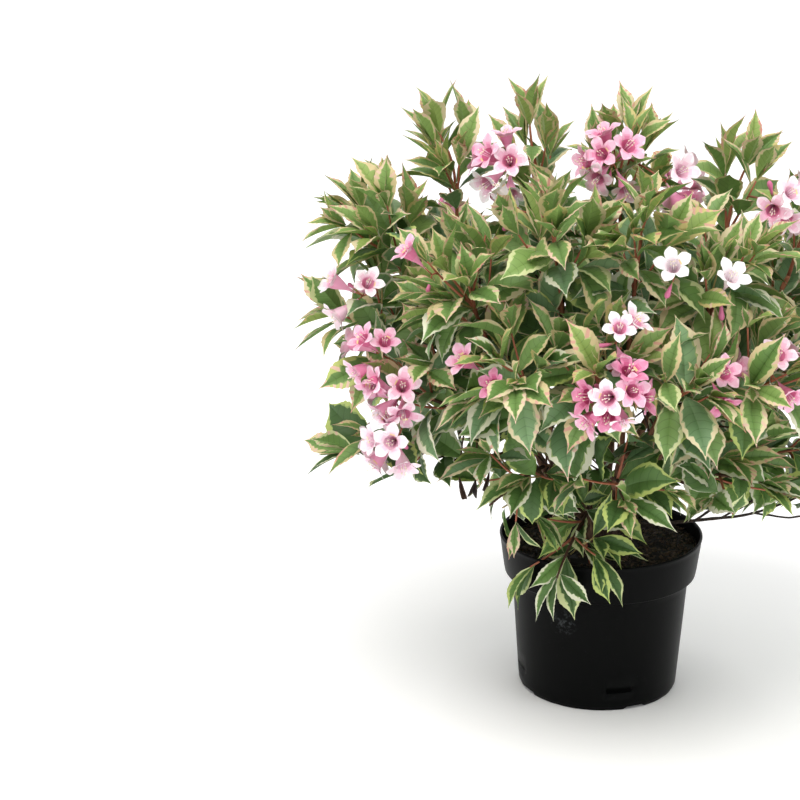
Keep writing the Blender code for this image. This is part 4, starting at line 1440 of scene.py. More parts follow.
    def dead_twig_batch(self) -> Batch:
        """Return the bare forked twig."""
        batch = Batch()
        end, way = self.stub(self.dead_azimuth, "low")
        low, steep = self.DEAD_LIFTS
        far = end + heading(self.dead_azimuth, low) * self.dead_length
        far_way = heading(self.dead_azimuth + self.DEAD_SWING, steep)
        path = [bezier(end, way, far, far_way, k / 24) for k in range(25)]
        radii = [self.dead_radius + (self.DEAD_END - self.dead_radius) * k / 24 for k in range(25)]
        stem = Limb(path, radii)
        batch.add(*tube(*self.refine(path, radii, 31.0), 8, self.STUB_LUMPS, 5.5), 0)
        for number, (share, swing, length) in enumerate(self.DEAD_FORKS):
            root, along, radius = stem.at(share)
            out = Matrix.Rotation(math.radians(swing), 3, Vector((0.3, -1.0, 0.1)).normalized()) @ along
            fork = [root, root + out * length * 0.5, root + (out + UP * 0.12) * length]
            fine = self.refine(fork, [radius * 0.8, 0.0011, 0.0007], 40.0 + number)
            batch.add(*tube(*fine, 6, self.TWIG_LUMPS, number * 4.4), 0)
        return batch


@dataclass(frozen=True)
class TierHabit:
    """How the shoots of one tier grow: angles in degrees, lengths in metres."""

    spacing: float
    shoot_share: float
    least_angle: float
    most_angle: float
    rise: float
    leaf: float
    finer: float
    room: float
    egg: float
    girth: float


# Leaf spacing, share of the leader with side shoots, their least and most angle, rise, leaf length, chance of
# finer shoots, room of a leaf, and fullness and girth of the egg that the foliage keeps to
TIERS = {
    "spire": TierHabit(0.030, 0.36, 22, 36, 0.35, 0.083, 0.15, 0.0072, 1.36, 0.74),
    "shoulder": TierHabit(0.030, 0.56, 28, 48, 0.48, 0.087, 0.40, 0.0070, 1.42, 0.97),
    "belt": TierHabit(0.029, 0.64, 36, 56, 0.50, 0.087, 0.45, 0.0072, 1.42, 1.0),
    "skirt": TierHabit(0.032, 0.58, 42, 62, 0.26, 0.087, 0.30, 0.0092, 1.28, 1.0),
}


@dataclass
class Shoot:
    """One twig: its middle, and the number by which its own leaves are known."""

    path: list[Vector]
    number: int


class Growth:
    """One mass of foliage as it grows: leader, side shoots, finer shoots, blossom and leaves."""

    # Only the shoot that hangs over the rim reaches below the light over the compost
    SKIRTS_LOWEST = (0.252, 0.188, 0.090, 0.250, 0.245, 0.195)
    LOWEST = {f"skirt_{number}": height for number, height in enumerate(SKIRTS_LOWEST, 1)}
    OTHERS_LOWEST = 0.235
    # Below the eaves the foliage keeps near the pot, except on the right
    EAVES, EAVES_REACH, FREE = 0.262, 0.168, "skirt_6"
    # Place along a shoot, past 1 for the furled pairs, and leaf size there
    SIZES = ((0.0, 1.0), (0.7, 1.0), (0.85, 0.97), (1.0, 0.92), (1.15, 0.76), (1.4, 0.46))
    TIP_PLACES = (1.15, 1.40)
    YOUNG_FROM, TIP_FROM, OLD_BELOW = 0.85, 1.3, 0.33
    # A shoot that hangs over the rim has smaller leaves that are rolled more
    HANGING_SIZE, HANGING_ROLL = 0.82, 3.0
    # Radii of the leader, of side shoots and finer ones, and of short inner shoots
    LEADER, SIDE, FINER, INNER, SHOOT_END = (0.0024, 0.0011), 0.0016, 0.0012, 0.0013, 0.0009
    # Room that wood keeps free of leaves, at twigs and at boughs
    TWIG_ROOM, BOUGH_ROOM = 0.0035, 0.005
    # Material slots of the twigs, and the height below which a leader is brown
    RED, BROWN, GREEN = range(3)
    BROWN_BELOW = 0.34
    # Places of the inner shoots on the bough, and of their leaves
    INNER_PLACES, INNER_PAIRS = (0.52, 0.64, 0.76, 0.88), (0.55, 1.0)
    # Leaf pairs on a side shoot, and the least length that carries a finer one
    PAIR_STEP, FORKS_FROM = 0.026, 0.045
    # How often a shoot and a leaf look for room
    SHOOT_TRIES, LEAF_TRIES = 6, 7
    # Brightness from which leaves are sunlit or upper ones, and height below which they are low ones
    SUNLIT, UPPER, LOW_BELOW, MILKY = 1.15, 0.80, 0.30, 0.45
    # A cluster: how far flowers reach past its spur, the least spur, and radii of spur and stalk
    FLOWER_REACH, LEAST_SPUR = 0.024, 0.010
    SPUR, STALK = [0.0013, 0.0011, 0.0010], [0.0008, 0.0007]
    # Its spread in degrees, turn from flower to flower, and room of a flower
    SPREAD, GOLDEN_TURN, FLOWER_ROOM = 82, 2.39996, 0.0085
    # A flower's mouth above its foot, its radius, and the free way in front of it and towards the camera
    MOUTH_AT, MOUTH_RADIUS, AHEAD, IN_VIEW = 0.030, 0.013, 0.014, 0.022
    # Room owners that aren't shoots
    NOBODY, FLOWERS, BOUGHS = -1, -2, -3

    def __init__(self, mass: Mass, garden: "Garden") -> None:
        """Set the mass out.

        Args:
            mass: Its row in the plan.
            garden: What all masses share.
        """
        self.mass = mass
        self.garden = garden
        self.rng = random.Random("fine " + mass.name)
        self.habit = TIERS[mass.group()]
        self.axis = mass.axis()
        self.centre = mass.centre()
        self.foot = mass.foot()
        self.joints: list[tuple] = []
        self.inner: list[tuple] = []
        self.shoots: list[Shoot] = []
        self.lowest = self.LOWEST.get(mass.name, self.OTHERS_LOWEST)
        self.hangs = mass.sag > 0.9

    def inside(self, points: np.ndarray) -> bool:
        """Return whether points lie in the mass's egg and the crown, clear of the pot."""
        away = points - np.array(self.centre)
        along = away @ np.array(self.axis)
        across = np.linalg.norm(away - along[:, None] * np.array(self.axis), axis=1)
        girth = self.mass.across * self.habit.girth
        if np.any((along / self.mass.along) ** 2 + (across / girth) ** 2 > self.habit.egg):
            return False
        return self.in_crown(points)

    def in_crown(self, points: np.ndarray) -> bool:
        """Return whether points lie in the crown, clear of the pot and above what is kept bare."""
        if points[:, 2].min() < self.lowest:
            return False
        low = points[points[:, 2] < self.EAVES]
        if len(low) and self.mass.name != self.FREE:
            if np.hypot(low[:, 0], low[:, 1]).max() > self.EAVES_REACH:
                return False
        crown, pot = self.garden.crown, self.garden.pot
        return all(crown.holds(*p) and not pot.touched(*p) for p in points)

    def twig(self, path: list[Vector], foot: float, end: float, finish: int) -> Shoot:
        """Add a twig and return it.

        Args:
            path: Its middle.
            foot: Radius at its foot.
            end: Radius at its end.
            finish: Material slot.

        Returns:
            The shoot.
        """
        steps = len(path) - 1
        radii = [foot + (end - foot) * k / steps for k in range(steps + 1)]
        self.garden.twigs.add(*tube(path, radii, 6), finish)
        self.garden.shoot_count += 1
        shoot = Shoot(path, self.garden.shoot_count)
        spots = rows_of([along_path(path, s) for s in (0.25, 0.5, 0.75)])
        self.garden.crowd.add(spots, self.TWIG_ROOM, shoot.number)
        self.shoots.append(shoot)
        return shoot

    def leader(self) -> None:
        """Grow the main shoot and all that leaves it."""
        length = self.mass.along * 1.80 - self.habit.leaf * 0.55
        bow = square_to(self.axis, UP) * (length * 0.05)
        stops = 8
        path = []
        for stop in range(stops + 1):
            share = stop / stops
            sway = noise.noise_vector(Vector((share * 2.4, hash_name(self.mass.name), 0.4))) * (0.006 * share)
            path.append(self.foot + self.axis * (length * share) + bow * math.sin(math.pi * share) + sway)
        shoot = self.twig(path, *self.LEADER, self.RED if self.foot.z > self.BROWN_BELOW else self.BROWN)
        joints = max(4, round(length / self.habit.spacing) + 1)
        turn = self.rng.uniform(0.0, math.pi)
        across = square_to(self.axis, UP)
        for number in range(1, joints + 1):
            share = (number - 0.30) / joints
            spot = along_path(path, share)
            side = Matrix.Rotation(turn + math.pi / 2 * number, 3, self.axis) @ across
            for sign in (1, -1):
                branches = share < self.habit.shoot_share
                if branches:
                    self.side_shoot(spot, self.axis, side * sign, 1.0 - share, 0)
                place = 0.40 if branches else share
                self.joints.append((spot, self.axis, side * sign, place, shoot.number))
        self.tip(path[-1], self.axis, turn + math.pi / 2 * (joints + 1), shoot.number)

    def inner_pairs(self) -> None:
        """Grow short shoots with crossed pairs of old leaves along the bough, inside the crown."""
        limb = self.garden.stems.limbs[self.mass.name]
        for share in self.INNER_PLACES:
            spot, along, _ = limb.at(share)
            turn = self.rng.uniform(0.0, math.pi)
            across = square_to(along, UP)
            for sign in (1, -1):
                side = Matrix.Rotation(turn, 3, along) @ across * sign
                way = (along * 0.75 + side * 0.8 + UP * 0.15).normalized()
                length = self.rng.uniform(0.018, 0.042)
                path = [spot + way * (length * k / 3) for k in range(4)]
                if self.garden.pot.touched(*path[-1]) or not self.garden.crown.holds(*path[-1]):
                    continue
                shoot = self.twig(path, self.INNER, self.SHOOT_END, self.BROWN)
                for rank, place in enumerate(self.INNER_PAIRS):
                    pair = Matrix.Rotation(math.pi / 2 * rank, 3, way) @ square_to(way, side)
                    for hand in (1, -1):
                        self.inner.append((along_path(path, place), way, pair * hand, 0.5, shoot.number))

    def tip(self, spot: Vector, way: Vector, turn: float, number: int) -> None:
        """Grow the furled pairs at a shoot's end."""
        across = square_to(way, UP)
        for rank, share in enumerate(self.TIP_PLACES[:1] if self.hangs else self.TIP_PLACES):
            side = Matrix.Rotation(turn + math.pi / 2 * rank, 3, way) @ across
            for sign in (1, -1):
                self.joints.append((spot, way, side * sign, share, number))

    def side_shoot(self, root: Vector, parent: Vector, side: Vector, vigour: float, order: int) -> None:
        """Grow a side shoot with crossed pairs of leaves, and a finer one from it.

        Args:
            root: Where it leaves its parent.
            parent: Its parent's direction.
            side: The side that it leaves to.
            vigour: How far below its parent's tip it leaves, from 0 to 1.
            order: How many times it has branched since the leader.
        """
        for attempt in range(self.SHOOT_TRIES):
            angle = math.radians(self.rng.uniform(self.habit.least_angle, self.habit.most_angle))
            way = parent * math.cos(angle) + side * math.sin(angle)
            rise = self.rng.uniform(0.3, 1.2) * self.habit.rise - self.mass.sag * 0.4
            way = (way + UP * rise).normalized()
            length = self.mass.across * self.rng.uniform(0.50, 0.74) * (0.80 + 0.4 * vigour)
            length *= (1 - 0.12 * attempt) * (0.55 if order else 1.0)
            lift = UP * (length * self.habit.rise * 0.4)
            path = [root + way * (length * k / 5) + lift * (k / 5) ** 2 for k in range(6)]
            ends = rows_of([path[3], path[5]])
            if self.inside(ends) and self.garden.crowd.clear(ends, self.NOBODY):
                break
        else:
            return
        foot, finish = (self.FINER, self.GREEN) if order else (self.SIDE, self.RED)
        shoot = self.twig(path, foot, self.SHOOT_END, finish)
        turn = self.rng.uniform(0.0, math.pi)
        across = square_to(way, UP)
        ranks = max(2, round(length / self.PAIR_STEP))
        for rank in range(1, ranks + 1):
            share = (rank - 0.25) / ranks
            spot = along_path(path, share)
            pair = Matrix.Rotation(turn + math.pi / 2 * rank, 3, way) @ across
            for sign in (1, -1):
                forks = order == 0 and rank == 1 and length > self.FORKS_FROM
                if forks and self.rng.random() < self.habit.finer:
                    self.side_shoot(spot, way, pair * sign, 0.5, 1)
                self.joints.append((spot, way, pair * sign, 0.45 + 0.5 * share, shoot.number))
        self.tip(path[-1], way, turn + math.pi / 2 * (ranks + 1), shoot.number)

    def livery(self, share: float, height: float) -> str:
        """Return the livery of a leaf by its place on the shoot and in the shrub."""
        light = share + (height - 0.40) * 2.2 + self.rng.uniform(-0.25, 0.25)
        if light > self.SUNLIT:
            return "sunlit"
        if light > self.UPPER:
            return "upper"
        if height < self.LOW_BELOW:
            return "low"
        return "milky" if self.rng.random() < self.MILKY else "middle"

    def grow_leaves(self) -> None:
        """Grow a leaf at every joint that has room for it, the outermost first."""
        for joint in sorted(self.joints, key=lambda j: -j[3]):
            self.leaf(*joint, True)

    def grow_inner_leaves(self) -> None:
        """Grow the leaves along the bough where there is room left."""
        for joint in self.inner:
            self.leaf(*joint, False)

    def leaf(self, root: Vector, shoot: Vector, side: Vector, share: float, number: int, own: bool) -> None:
        """Grow one leaf if there is room for it.

        Args:
            root: Where it leaves its shoot.
            shoot: The shoot's direction.
            side: The side that it leaves to.
            share: Its place along the shoot, past 1 for the furled pairs.
            number: Number of its shoot.
            own: Whether it has to stay in the mass's egg.
        """
        age = Age.TIP if share > self.TIP_FROM else Age.YOUNG if share > self.YOUNG_FROM else Age.GROWN
        if age is Age.GROWN and root.z < self.OLD_BELOW:
            age = Age.OLD
        size, roll_share = self.habit.leaf, 1.0
        if self.hangs:
            age = Age.YOUNG
            size, roll_share = size * self.HANGING_SIZE, self.HANGING_ROLL
        size = size * float(np.interp(share, *zip(*self.SIZES))) * self.rng.uniform(0.84, 1.10)
        opening = 74 - 44 * min(share, 1.3)
        garden = self.garden
        for attempt in range(self.LEAF_TRIES):
            angle = math.radians(opening + self.rng.uniform(-9, 9) * (1 + attempt * 0.6))
            skew = Matrix.Rotation(self.rng.uniform(-0.25, 0.25) * (1 + attempt * 0.6), 3, shoot)
            away = skew @ side
            way = shoot * math.cos(angle) + away * math.sin(angle)
            way = (way - UP * (self.mass.sag * 0.5)).normalized()
            length = size * (1 - 0.05 * attempt)
            roll = Matrix.Rotation(self.rng.uniform(-0.30, 0.30) * roll_share, 3, way)
            upper = roll @ square_to(way, shoot + UP * 0.6)
            form = self.rng.choice(garden.foliage.forms[age])
            frame3 = rows_of([way.cross(upper), way, upper]).T * length
            spot = np.array(root)
            probes = form.probes @ frame3.T + spot
            held = self.inside(probes) if own else self.in_crown(probes)
            if held and garden.crowd.clear(probes, number):
                garden.crowd.add(probes, self.habit.room, number)
                shades = garden.foliage.shades(age, self.livery(share, root.z), self.rng)
                garden.foliage.place(self.mass.piece(), form, frame3, spot, shades)
                return

    def bloom(self, bloom: Bloom) -> None:
        """Grow a cluster of flowers and buds on a spur.

        Args:
            bloom: Its row in the plan.
        """
        at = polar(bloom.azimuth, bloom.reach, bloom.height)
        spots = [along_path(shoot.path, s) for shoot in self.shoots for s in (0.3, 0.55, 0.75)]
        root = min(spots, key=lambda spot: (spot - at).length)
        way = (at - root).normalized()
        end = root + way * max((at - root).length - self.FLOWER_REACH, self.LEAST_SPUR)
        self.garden.twigs.add(*tube([root, root.lerp(end, 0.5) + UP * 0.001, end], self.SPUR, 6), self.RED)
        outward = Vector((at.x, at.y, 0.0)).normalized()
        out = (way * 0.4 + outward * 0.8 + FRONT * 0.2 + UP * 0.22).normalized()
        side = square_to(out, UP)
        blossom = self.garden.blossom
        number = bloom.flowers + (3 if bloom.flowers > 3 else bloom.flowers - 1)
        for place in range(number + max(1, number // 2)):
            tilt = math.radians(self.SPREAD) * math.sqrt((place + 0.4) / (number + 0.6))
            tilt *= self.rng.uniform(0.82, 1.12)
            turn = place * self.GOLDEN_TURN + self.rng.uniform(0.1, 0.9)
            lean = Matrix.Rotation(turn, 3, out) @ side
            face = (out * math.cos(tilt) + lean * math.sin(tilt)).normalized()
            foot = end + face * self.rng.uniform(0.002, 0.011)
            self.garden.twigs.add(*tube([end, foot], self.STALK, 5), self.RED)
            blossom.calyx(foot, face)
            spin = self.rng.uniform(0, 6.28)
            if place >= number:
                blossom.put(blossom.bud, foot, face, spin, self.rng.uniform(0.7, 1.1), Tint.ROSE)
                continue
            form = self.rng.choice(blossom.forms)
            shape = (form.points, form.quads, form.zones)
            tint = bloom.tints[place % len(bloom.tints)]
            blossom.put(shape, foot, face, spin, self.rng.uniform(0.94, 1.14), tint)
            blossom.flowers += 1
            self.keep_free(foot + face * self.MOUTH_AT, face, place % 2 == 1)

    def keep_free(self, mouth: Vector, face: Vector, seen: bool) -> None:
        """Keep leaves away from a flower.

        Args:
            mouth: Middle of its mouth.
            face: Direction that it faces.
            seen: Whether leaves keep out of the camera's way to it too.
        """
        across = square_to(face, UP)
        turns = [Matrix.Rotation(corner * 1.257, 3, face) for corner in range(LOBES)]
        spots = [mouth, mouth + face * self.AHEAD]
        spots += [mouth + (turn @ across) * self.MOUTH_RADIUS for turn in turns]
        if seen:
            spots.append(mouth + (face + FRONT).normalized() * self.IN_VIEW)
        self.garden.crowd.add(rows_of(spots), self.FLOWER_ROOM, self.FLOWERS)


def hash_name(name: str) -> float:
    """Return a steady number for a name."""
    return sum(ord(letter) * (place + 1) for place, letter in enumerate(name)) * 0.37


class Garden:
    """The whole shrub above the stool, and what its masses share while they grow."""

    # Where each withered leaf hangs, and its length
    DEAD_LEAVES = (
        (0.166, -0.010, 0.235, 0.045),
        (-0.162, -0.105, 0.283, 0.040),
        (-0.143, -0.100, 0.278, 0.046),
        (-0.128, -0.092, 0.284, 0.036),
        (0.150, 0.120, 0.262, 0.044),
    )

    def __init__(self, stems: Stems) -> None:
        """Start with bare boughs.

        Args:
            stems: The woody frame, laid out.
        """
        self.stems = stems
        self.crown = Crown()
        self.pot = PotSizes()
        self.crowd = Crowd()
        self.foliage = Foliage()
        self.blossom = Blossom()
        self.twigs = Batch()
        self.shoot_count = 0

    def carrier_of(self, bloom: Bloom) -> Mass:
        """Return the mass whose space a cluster lies in."""
        at = polar(bloom.azimuth, bloom.reach, bloom.height)
        return min(MASSES, key=lambda m: (m.centre() - at).length_squared - m.across**2)

    def grow(self) -> None:
        """Grow every mass: all twigs, then all blossom, then all leaves."""
        growths = [Growth(mass, self) for mass in MASSES]
        for growth in growths:
            growth.leader()
            growth.inner_pairs()
        for limb in self.stems.limbs.values():
            self.crowd.add(rows_of(limb.path), Growth.BOUGH_ROOM, Growth.BOUGHS)
        for bloom in BLOOMS:
            mass = self.carrier_of(bloom)
            next(g for g in growths if g.mass is mass).bloom(bloom)
        for growth in growths:
            growth.grow_leaves()
        for growth in growths:
            growth.grow_inner_leaves()
        self.drop_dead_leaves()

    def drop_dead_leaves(self) -> None:
        """Hang the few withered leaves."""
        rng = random.Random(5)
        wood = [spot for limb in self.stems.limbs.values() for spot in limb.path if spot.z > 0.20]
        for x, y, z, length in self.DEAD_LEAVES:
            end = Vector((x, y, z))
            start = min(wood, key=lambda spot: (spot - end).length)
            middle = start.lerp(end, 0.5) + UP * 0.008
            self.twigs.add(*tube([start, middle, end], [0.0012, 0.0010, 0.0007], 5), Growth.BROWN)
            way = Vector((rng.uniform(-0.3, 0.3), rng.uniform(-0.3, 0.1), -1.0)).normalized()
            upper = square_to(way, FRONT)
            frame3 = rows_of([way.cross(upper), way, upper]).T * length
            form = rng.choice(self.foliage.forms[Age.DEAD])
            shades = self.foliage.shades(Age.DEAD, "low", rng)
            self.foliage.place("skirt", form, frame3, np.array((x, y, z)), shades)


# Pot and compost


def angle_between(first: float, second: float) -> float:
    """Return the angle between two azimuths, in degrees."""
    return abs((first - second + 180) % 360 - 180)


@dataclass
class NurseryPot:
    """The round black pot: stepped foot ring, drain slots, flared wall, rim band and rolled lip."""

    sizes: PotSizes = field(default_factory=PotSizes)
    sides: int = 144
    foot_ring: float = 0.0036
    slot_bottom: float = 0.0205
    slot_top: float = 0.0270
    slot_depth: float = 0.0030
    first_slot: float = 282.0
    slot_width: float = 20.0
    slots: int = 4
    notch_offset: float = 11.0
    notch_width: float = 15.0
    floor_height: float = 0.0045

    LIP = (
        *((0.0007, 0.0034), (0.0, 0.0026), (0.0, 0.0010), (0.0007, 0.0002)),
        *((0.0014, 0.0), (0.0023, 0.0006), (0.0028, 0.0040)),
    )

    def rows(self) -> list[tuple[float, float]]:
        """Return the section as radius and height, from the underside's middle round to the floor inside."""
        s = self.sizes
        step = s.height - s.band_height
        rows = [(0.001, 0.0012), (s.base_radius - 0.012, 0.0012), (s.base_radius - 0.0030, 0.0)]
        rows += [(s.base_radius - 0.0016, 0.0003), (s.base_radius - 0.0012, self.foot_ring - 0.0006)]
        rows += [(s.base_radius - 0.0002, self.foot_ring), (s.base_radius, self.foot_ring + 0.0006)]
        slope = (s.wall_top_radius - s.base_radius) / (step - self.foot_ring)
        heights = [0.010, self.slot_bottom - 0.0008, self.slot_bottom, self.slot_top, self.slot_top + 0.0008]
        heights += [0.045, 0.065, 0.085, 0.105, 0.122, step - 0.0008]
        rows += [(s.base_radius + slope * (z - self.foot_ring), z) for z in heights]
        rows += [(s.wall_top_radius + 0.0008, step), (s.band_foot_radius - 0.0012, step + 0.0004)]
        rows += [(s.band_foot_radius - 0.0002, step + 0.0012), (s.band_foot_radius, step + 0.0022)]
        lean = s.rim_radius - s.band_foot_radius
        for share in (0.15, 0.35, 0.60, 0.82):
            rows.append((s.band_foot_radius + lean * share, step + s.band_height * share))
        # The rolled lip: how far in from the rim's radius and how far below its height
        for inward, down in self.LIP:
            rows.append((s.rim_radius - inward, s.height - down))
        rows += [(s.band_foot_radius - s.wall, step + 0.006), (s.wall_top_radius - s.wall, step - 0.002)]
        rows += [(s.base_radius - s.wall, self.floor_height), (0.001, self.floor_height)]
        return rows

    def piece(self) -> bpy.types.Object:
        """Return the pot."""
        rows = self.rows()
        points = []
        for number, (radius, height) in enumerate(rows):
            for side in range(self.sides):
                azimuth = 360.0 * side / self.sides
                points.append(self.point(azimuth, radius, height))
        quads = grid_quads(len(rows), self.sides, True)
        batch = Batch()
        batch.add(np.array(points), quads, 0)
        piece = batch.piece("pot_shell", [NurseryPlastic().build()])
        self.cut_slots(piece.data, rows)
        return piece

    def point(self, azimuth: float, radius: float, height: float) -> tuple[float, float, float]:
        """Return a point on the wall, with the slight waver of thin moulded plastic and a chipped foot."""
        turn = math.radians(azimuth)
        x, y = math.cos(turn), math.sin(turn)
        if radius > 0.05:
            radius += 0.0005 * noise.noise(Vector((x * 1.6, y * 1.6, height * 14)))
            if height < 0.002:
                chip = noise.noise(Vector((x * 9, y * 9, 3.0)))
                height += 0.0010 * max(0.0, chip - 0.15)
        foot = height < self.foot_ring - 0.0004 and radius > self.sizes.base_radius - 0.011
        for number in range(self.slots):
            middle = self.first_slot + self.notch_offset + number * 360 / self.slots
            if foot and angle_between(azimuth, middle) < self.notch_width / 2:
                height = self.foot_ring - 0.0008
        return x * radius, y * radius, height

    def cut_slots(self, mesh: bpy.types.Mesh, rows: list[tuple[float, float]]) -> None:
        """Sink the drain slots into the wall.

        Args:
            mesh: The pot's shell.
            rows: Its section.
        """
        low = next(n for n, row in enumerate(rows) if abs(row[1] - self.slot_bottom) < 1e-6)
        for number in range(self.slots):
            middle = self.first_slot + number * 360 / self.slots
            for side in range(self.sides):
                if angle_between(360.0 * side / self.sides, middle) > self.slot_width / 2:
                    continue
                for row in (low, low + 1):
                    vertex = mesh.vertices[row * self.sides + side]
                    flat = Vector((vertex.co.x, vertex.co.y, 0.0))
                    vertex.co -= flat.normalized() * self.slot_depth
        mesh.update()


@dataclass
class Compost:
    """The compost in the pot: an uneven surface under loose crumbs and bark chips."""

    sizes: PotSizes = field(default_factory=PotSizes)
    rings: int = 34
    sides: int = 110
    radius: float = 0.1066
    depth: float = 0.012
    chip_width: float = 0.0036
    chip_height: float = 0.0013

    # What the litter's nodes are given, and the least and most turn of its crumbs and chips
    LITTER = {"Crumbs per m2": 44000.0, "Crumb size": 0.0027, "Chips per m2": 6400.0, "Chip length": 0.012}
    TURNS = (-0.7, -0.7, 0.0), (0.7, 0.7, 6.283)
    CRUMB_SIZES = (0.35, 0.35, 0.25), (1.0, 1.0, 0.8)
    CHIP_SIZES = (0.35, 0.5, 0.5), (1.5, 1.4, 1.3)
    # Height of the step in the pot's wall, and how far litter may reach above and below it
    STEP, REACH_HIGH, REACH_LOW = 0.150, 0.1062, 0.1030

    def height(self, x: float, y: float) -> float:
        """Return the surface's height at a place."""
        away = math.hypot(x, y)
        rise = (self.sizes.soil_crown - self.sizes.soil_edge) * (1 - min(away / 0.10, 1.0)) ** 0.8
        rough = noise.noise(Vector((x * 55, y * 55, 0.0))) * 0.0022
        rough += noise.noise(Vector((x * 160, y * 160, 5.0))) * 0.0012
        mound = 0.0035 * max(0.0, noise.noise(Vector((x * 26, y * 26, 9.0))) + 0.2) + 0.055 * max(x, 0.0)
        return self.sizes.soil_edge + rise + rough + mound - 0.0008

    def surface(self) -> bpy.types.Object:
        """Return the surface as a shallow shell with a short skirt down at its edge, open below."""
        points = []
        for ring in range(self.rings + 1):
            away = max(self.radius * ring / self.rings, 0.0008)
            for side in range(self.sides):
                turn = 2 * math.pi * side / self.sides
                x, y = away * math.cos(turn), away * math.sin(turn)
                points.append((x, y, self.height(x, y)))
        for side in range(self.sides):
            turn = 2 * math.pi * side / self.sides
            x, y = self.radius * math.cos(turn), self.radius * math.sin(turn)
            points.append((x, y, self.sizes.soil_edge - self.depth))
        quads = grid_quads(self.rings + 2, self.sides, True)[:, ::-1]
        batch = Batch()
        batch.add(np.array(points), quads, 0)
        return batch.piece("compost_bed", [PottingCompost().build()])

    def litter(self, bed: bpy.types.Object) -> bpy.types.Object:
        """Scatter crumbs and chips over the bed with Geometry Nodes.

        Args:
            bed: The compost's surface.

        Returns:
            One plain mesh of all crumbs and chips.
        """
        tree = bpy.data.node_groups.new("compost_litter", "GeometryNodeTree")
        tree.interface.new_socket("Geometry", in_out="INPUT", socket_type="NodeSocketGeometry")
        ids = {}
        for name in self.LITTER:
            socket = tree.interface.new_socket(name, in_out="INPUT", socket_type="NodeSocketFloat")
            ids[name] = socket.identifier
        tree.interface.new_socket("Geometry", in_out="OUTPUT", socket_type="NodeSocketGeometry")
        given = add_node(tree, "NodeGroupInput").outputs
        crumb = add_node(
            tree, "GeometryNodeMeshIcoSphere", {"Subdivisions": 1}, {"Radius": given["Crumb size"]}
        )
        section = {"Y": self.chip_width, "Z": self.chip_height}
        size = add_node(tree, "ShaderNodeCombineXYZ", section, {"X": given["Chip length"]})
        chip = add_node(tree, "GeometryNodeMeshCube", {}, {"Size": size.outputs["Vector"]})
        join = add_node(tree, "GeometryNodeJoinGeometry")
        kinds = ((crumb, "Crumbs per m2", 3, self.CRUMB_SIZES), (chip, "Chips per m2", 8, self.CHIP_SIZES))
        for shape, density, seed, sizes in kinds:
            links = {"Mesh": given["Geometry"], "Density": given[density]}
            spots = add_node(tree, "GeometryNodeDistributePointsOnFaces", {"Seed": seed}, links)
            links = {"Points": spots.outputs["Points"], "Instance": shape.outputs["Mesh"]}
            for after, (name, (least, most)) in enumerate((("Rotation", self.TURNS), ("Scale", sizes)), 1):
                settings = {"data_type": "FLOAT_VECTOR", "Seed": seed + after, 0: least, 1: most}
                links[name] = add_node(tree, "FunctionNodeRandomValue", settings).outputs[0]
            put = add_node(tree, "GeometryNodeInstanceOnPoints", {}, links)
            tree.links.new(put.outputs["Instances"], join.inputs["Geometry"])
        real = add_node(tree, "GeometryNodeRealizeInstances", {}, {"Geometry": join.outputs["Geometry"]})
        finish = {"Material": CHIP_BARK.build()}
        dress = add_node(tree, "GeometryNodeSetMaterial", finish, {"Geometry": real.outputs["Geometry"]})
        add_node(tree, "NodeGroupOutput", {}, {"Geometry": dress.outputs["Geometry"]})
        host = show("litter_host", bed.data.copy())
        grow = host.modifiers.new("Litter", "NODES")
        grow.node_group = tree
        for name, value in self.LITTER.items():
            grow[ids[name]] = value
        mesh = melted(host)
        mesh.name = "compost_litter"
        self.trim(mesh)
        return show("compost_litter", mesh)

    def trim(self, mesh: bpy.types.Mesh) -> None:
        """Pull crumbs that would pass through the pot's wall back inside it."""
        for vertex in mesh.vertices:
            away = math.hypot(vertex.co.x, vertex.co.y)
            most = self.REACH_HIGH if vertex.co.z > self.STEP else self.REACH_LOW
            if away > most:
                vertex.co.x *= most / away
                vertex.co.y *= most / away
            vertex.co.z = max(vertex.co.z, self.STEP)


# Stage


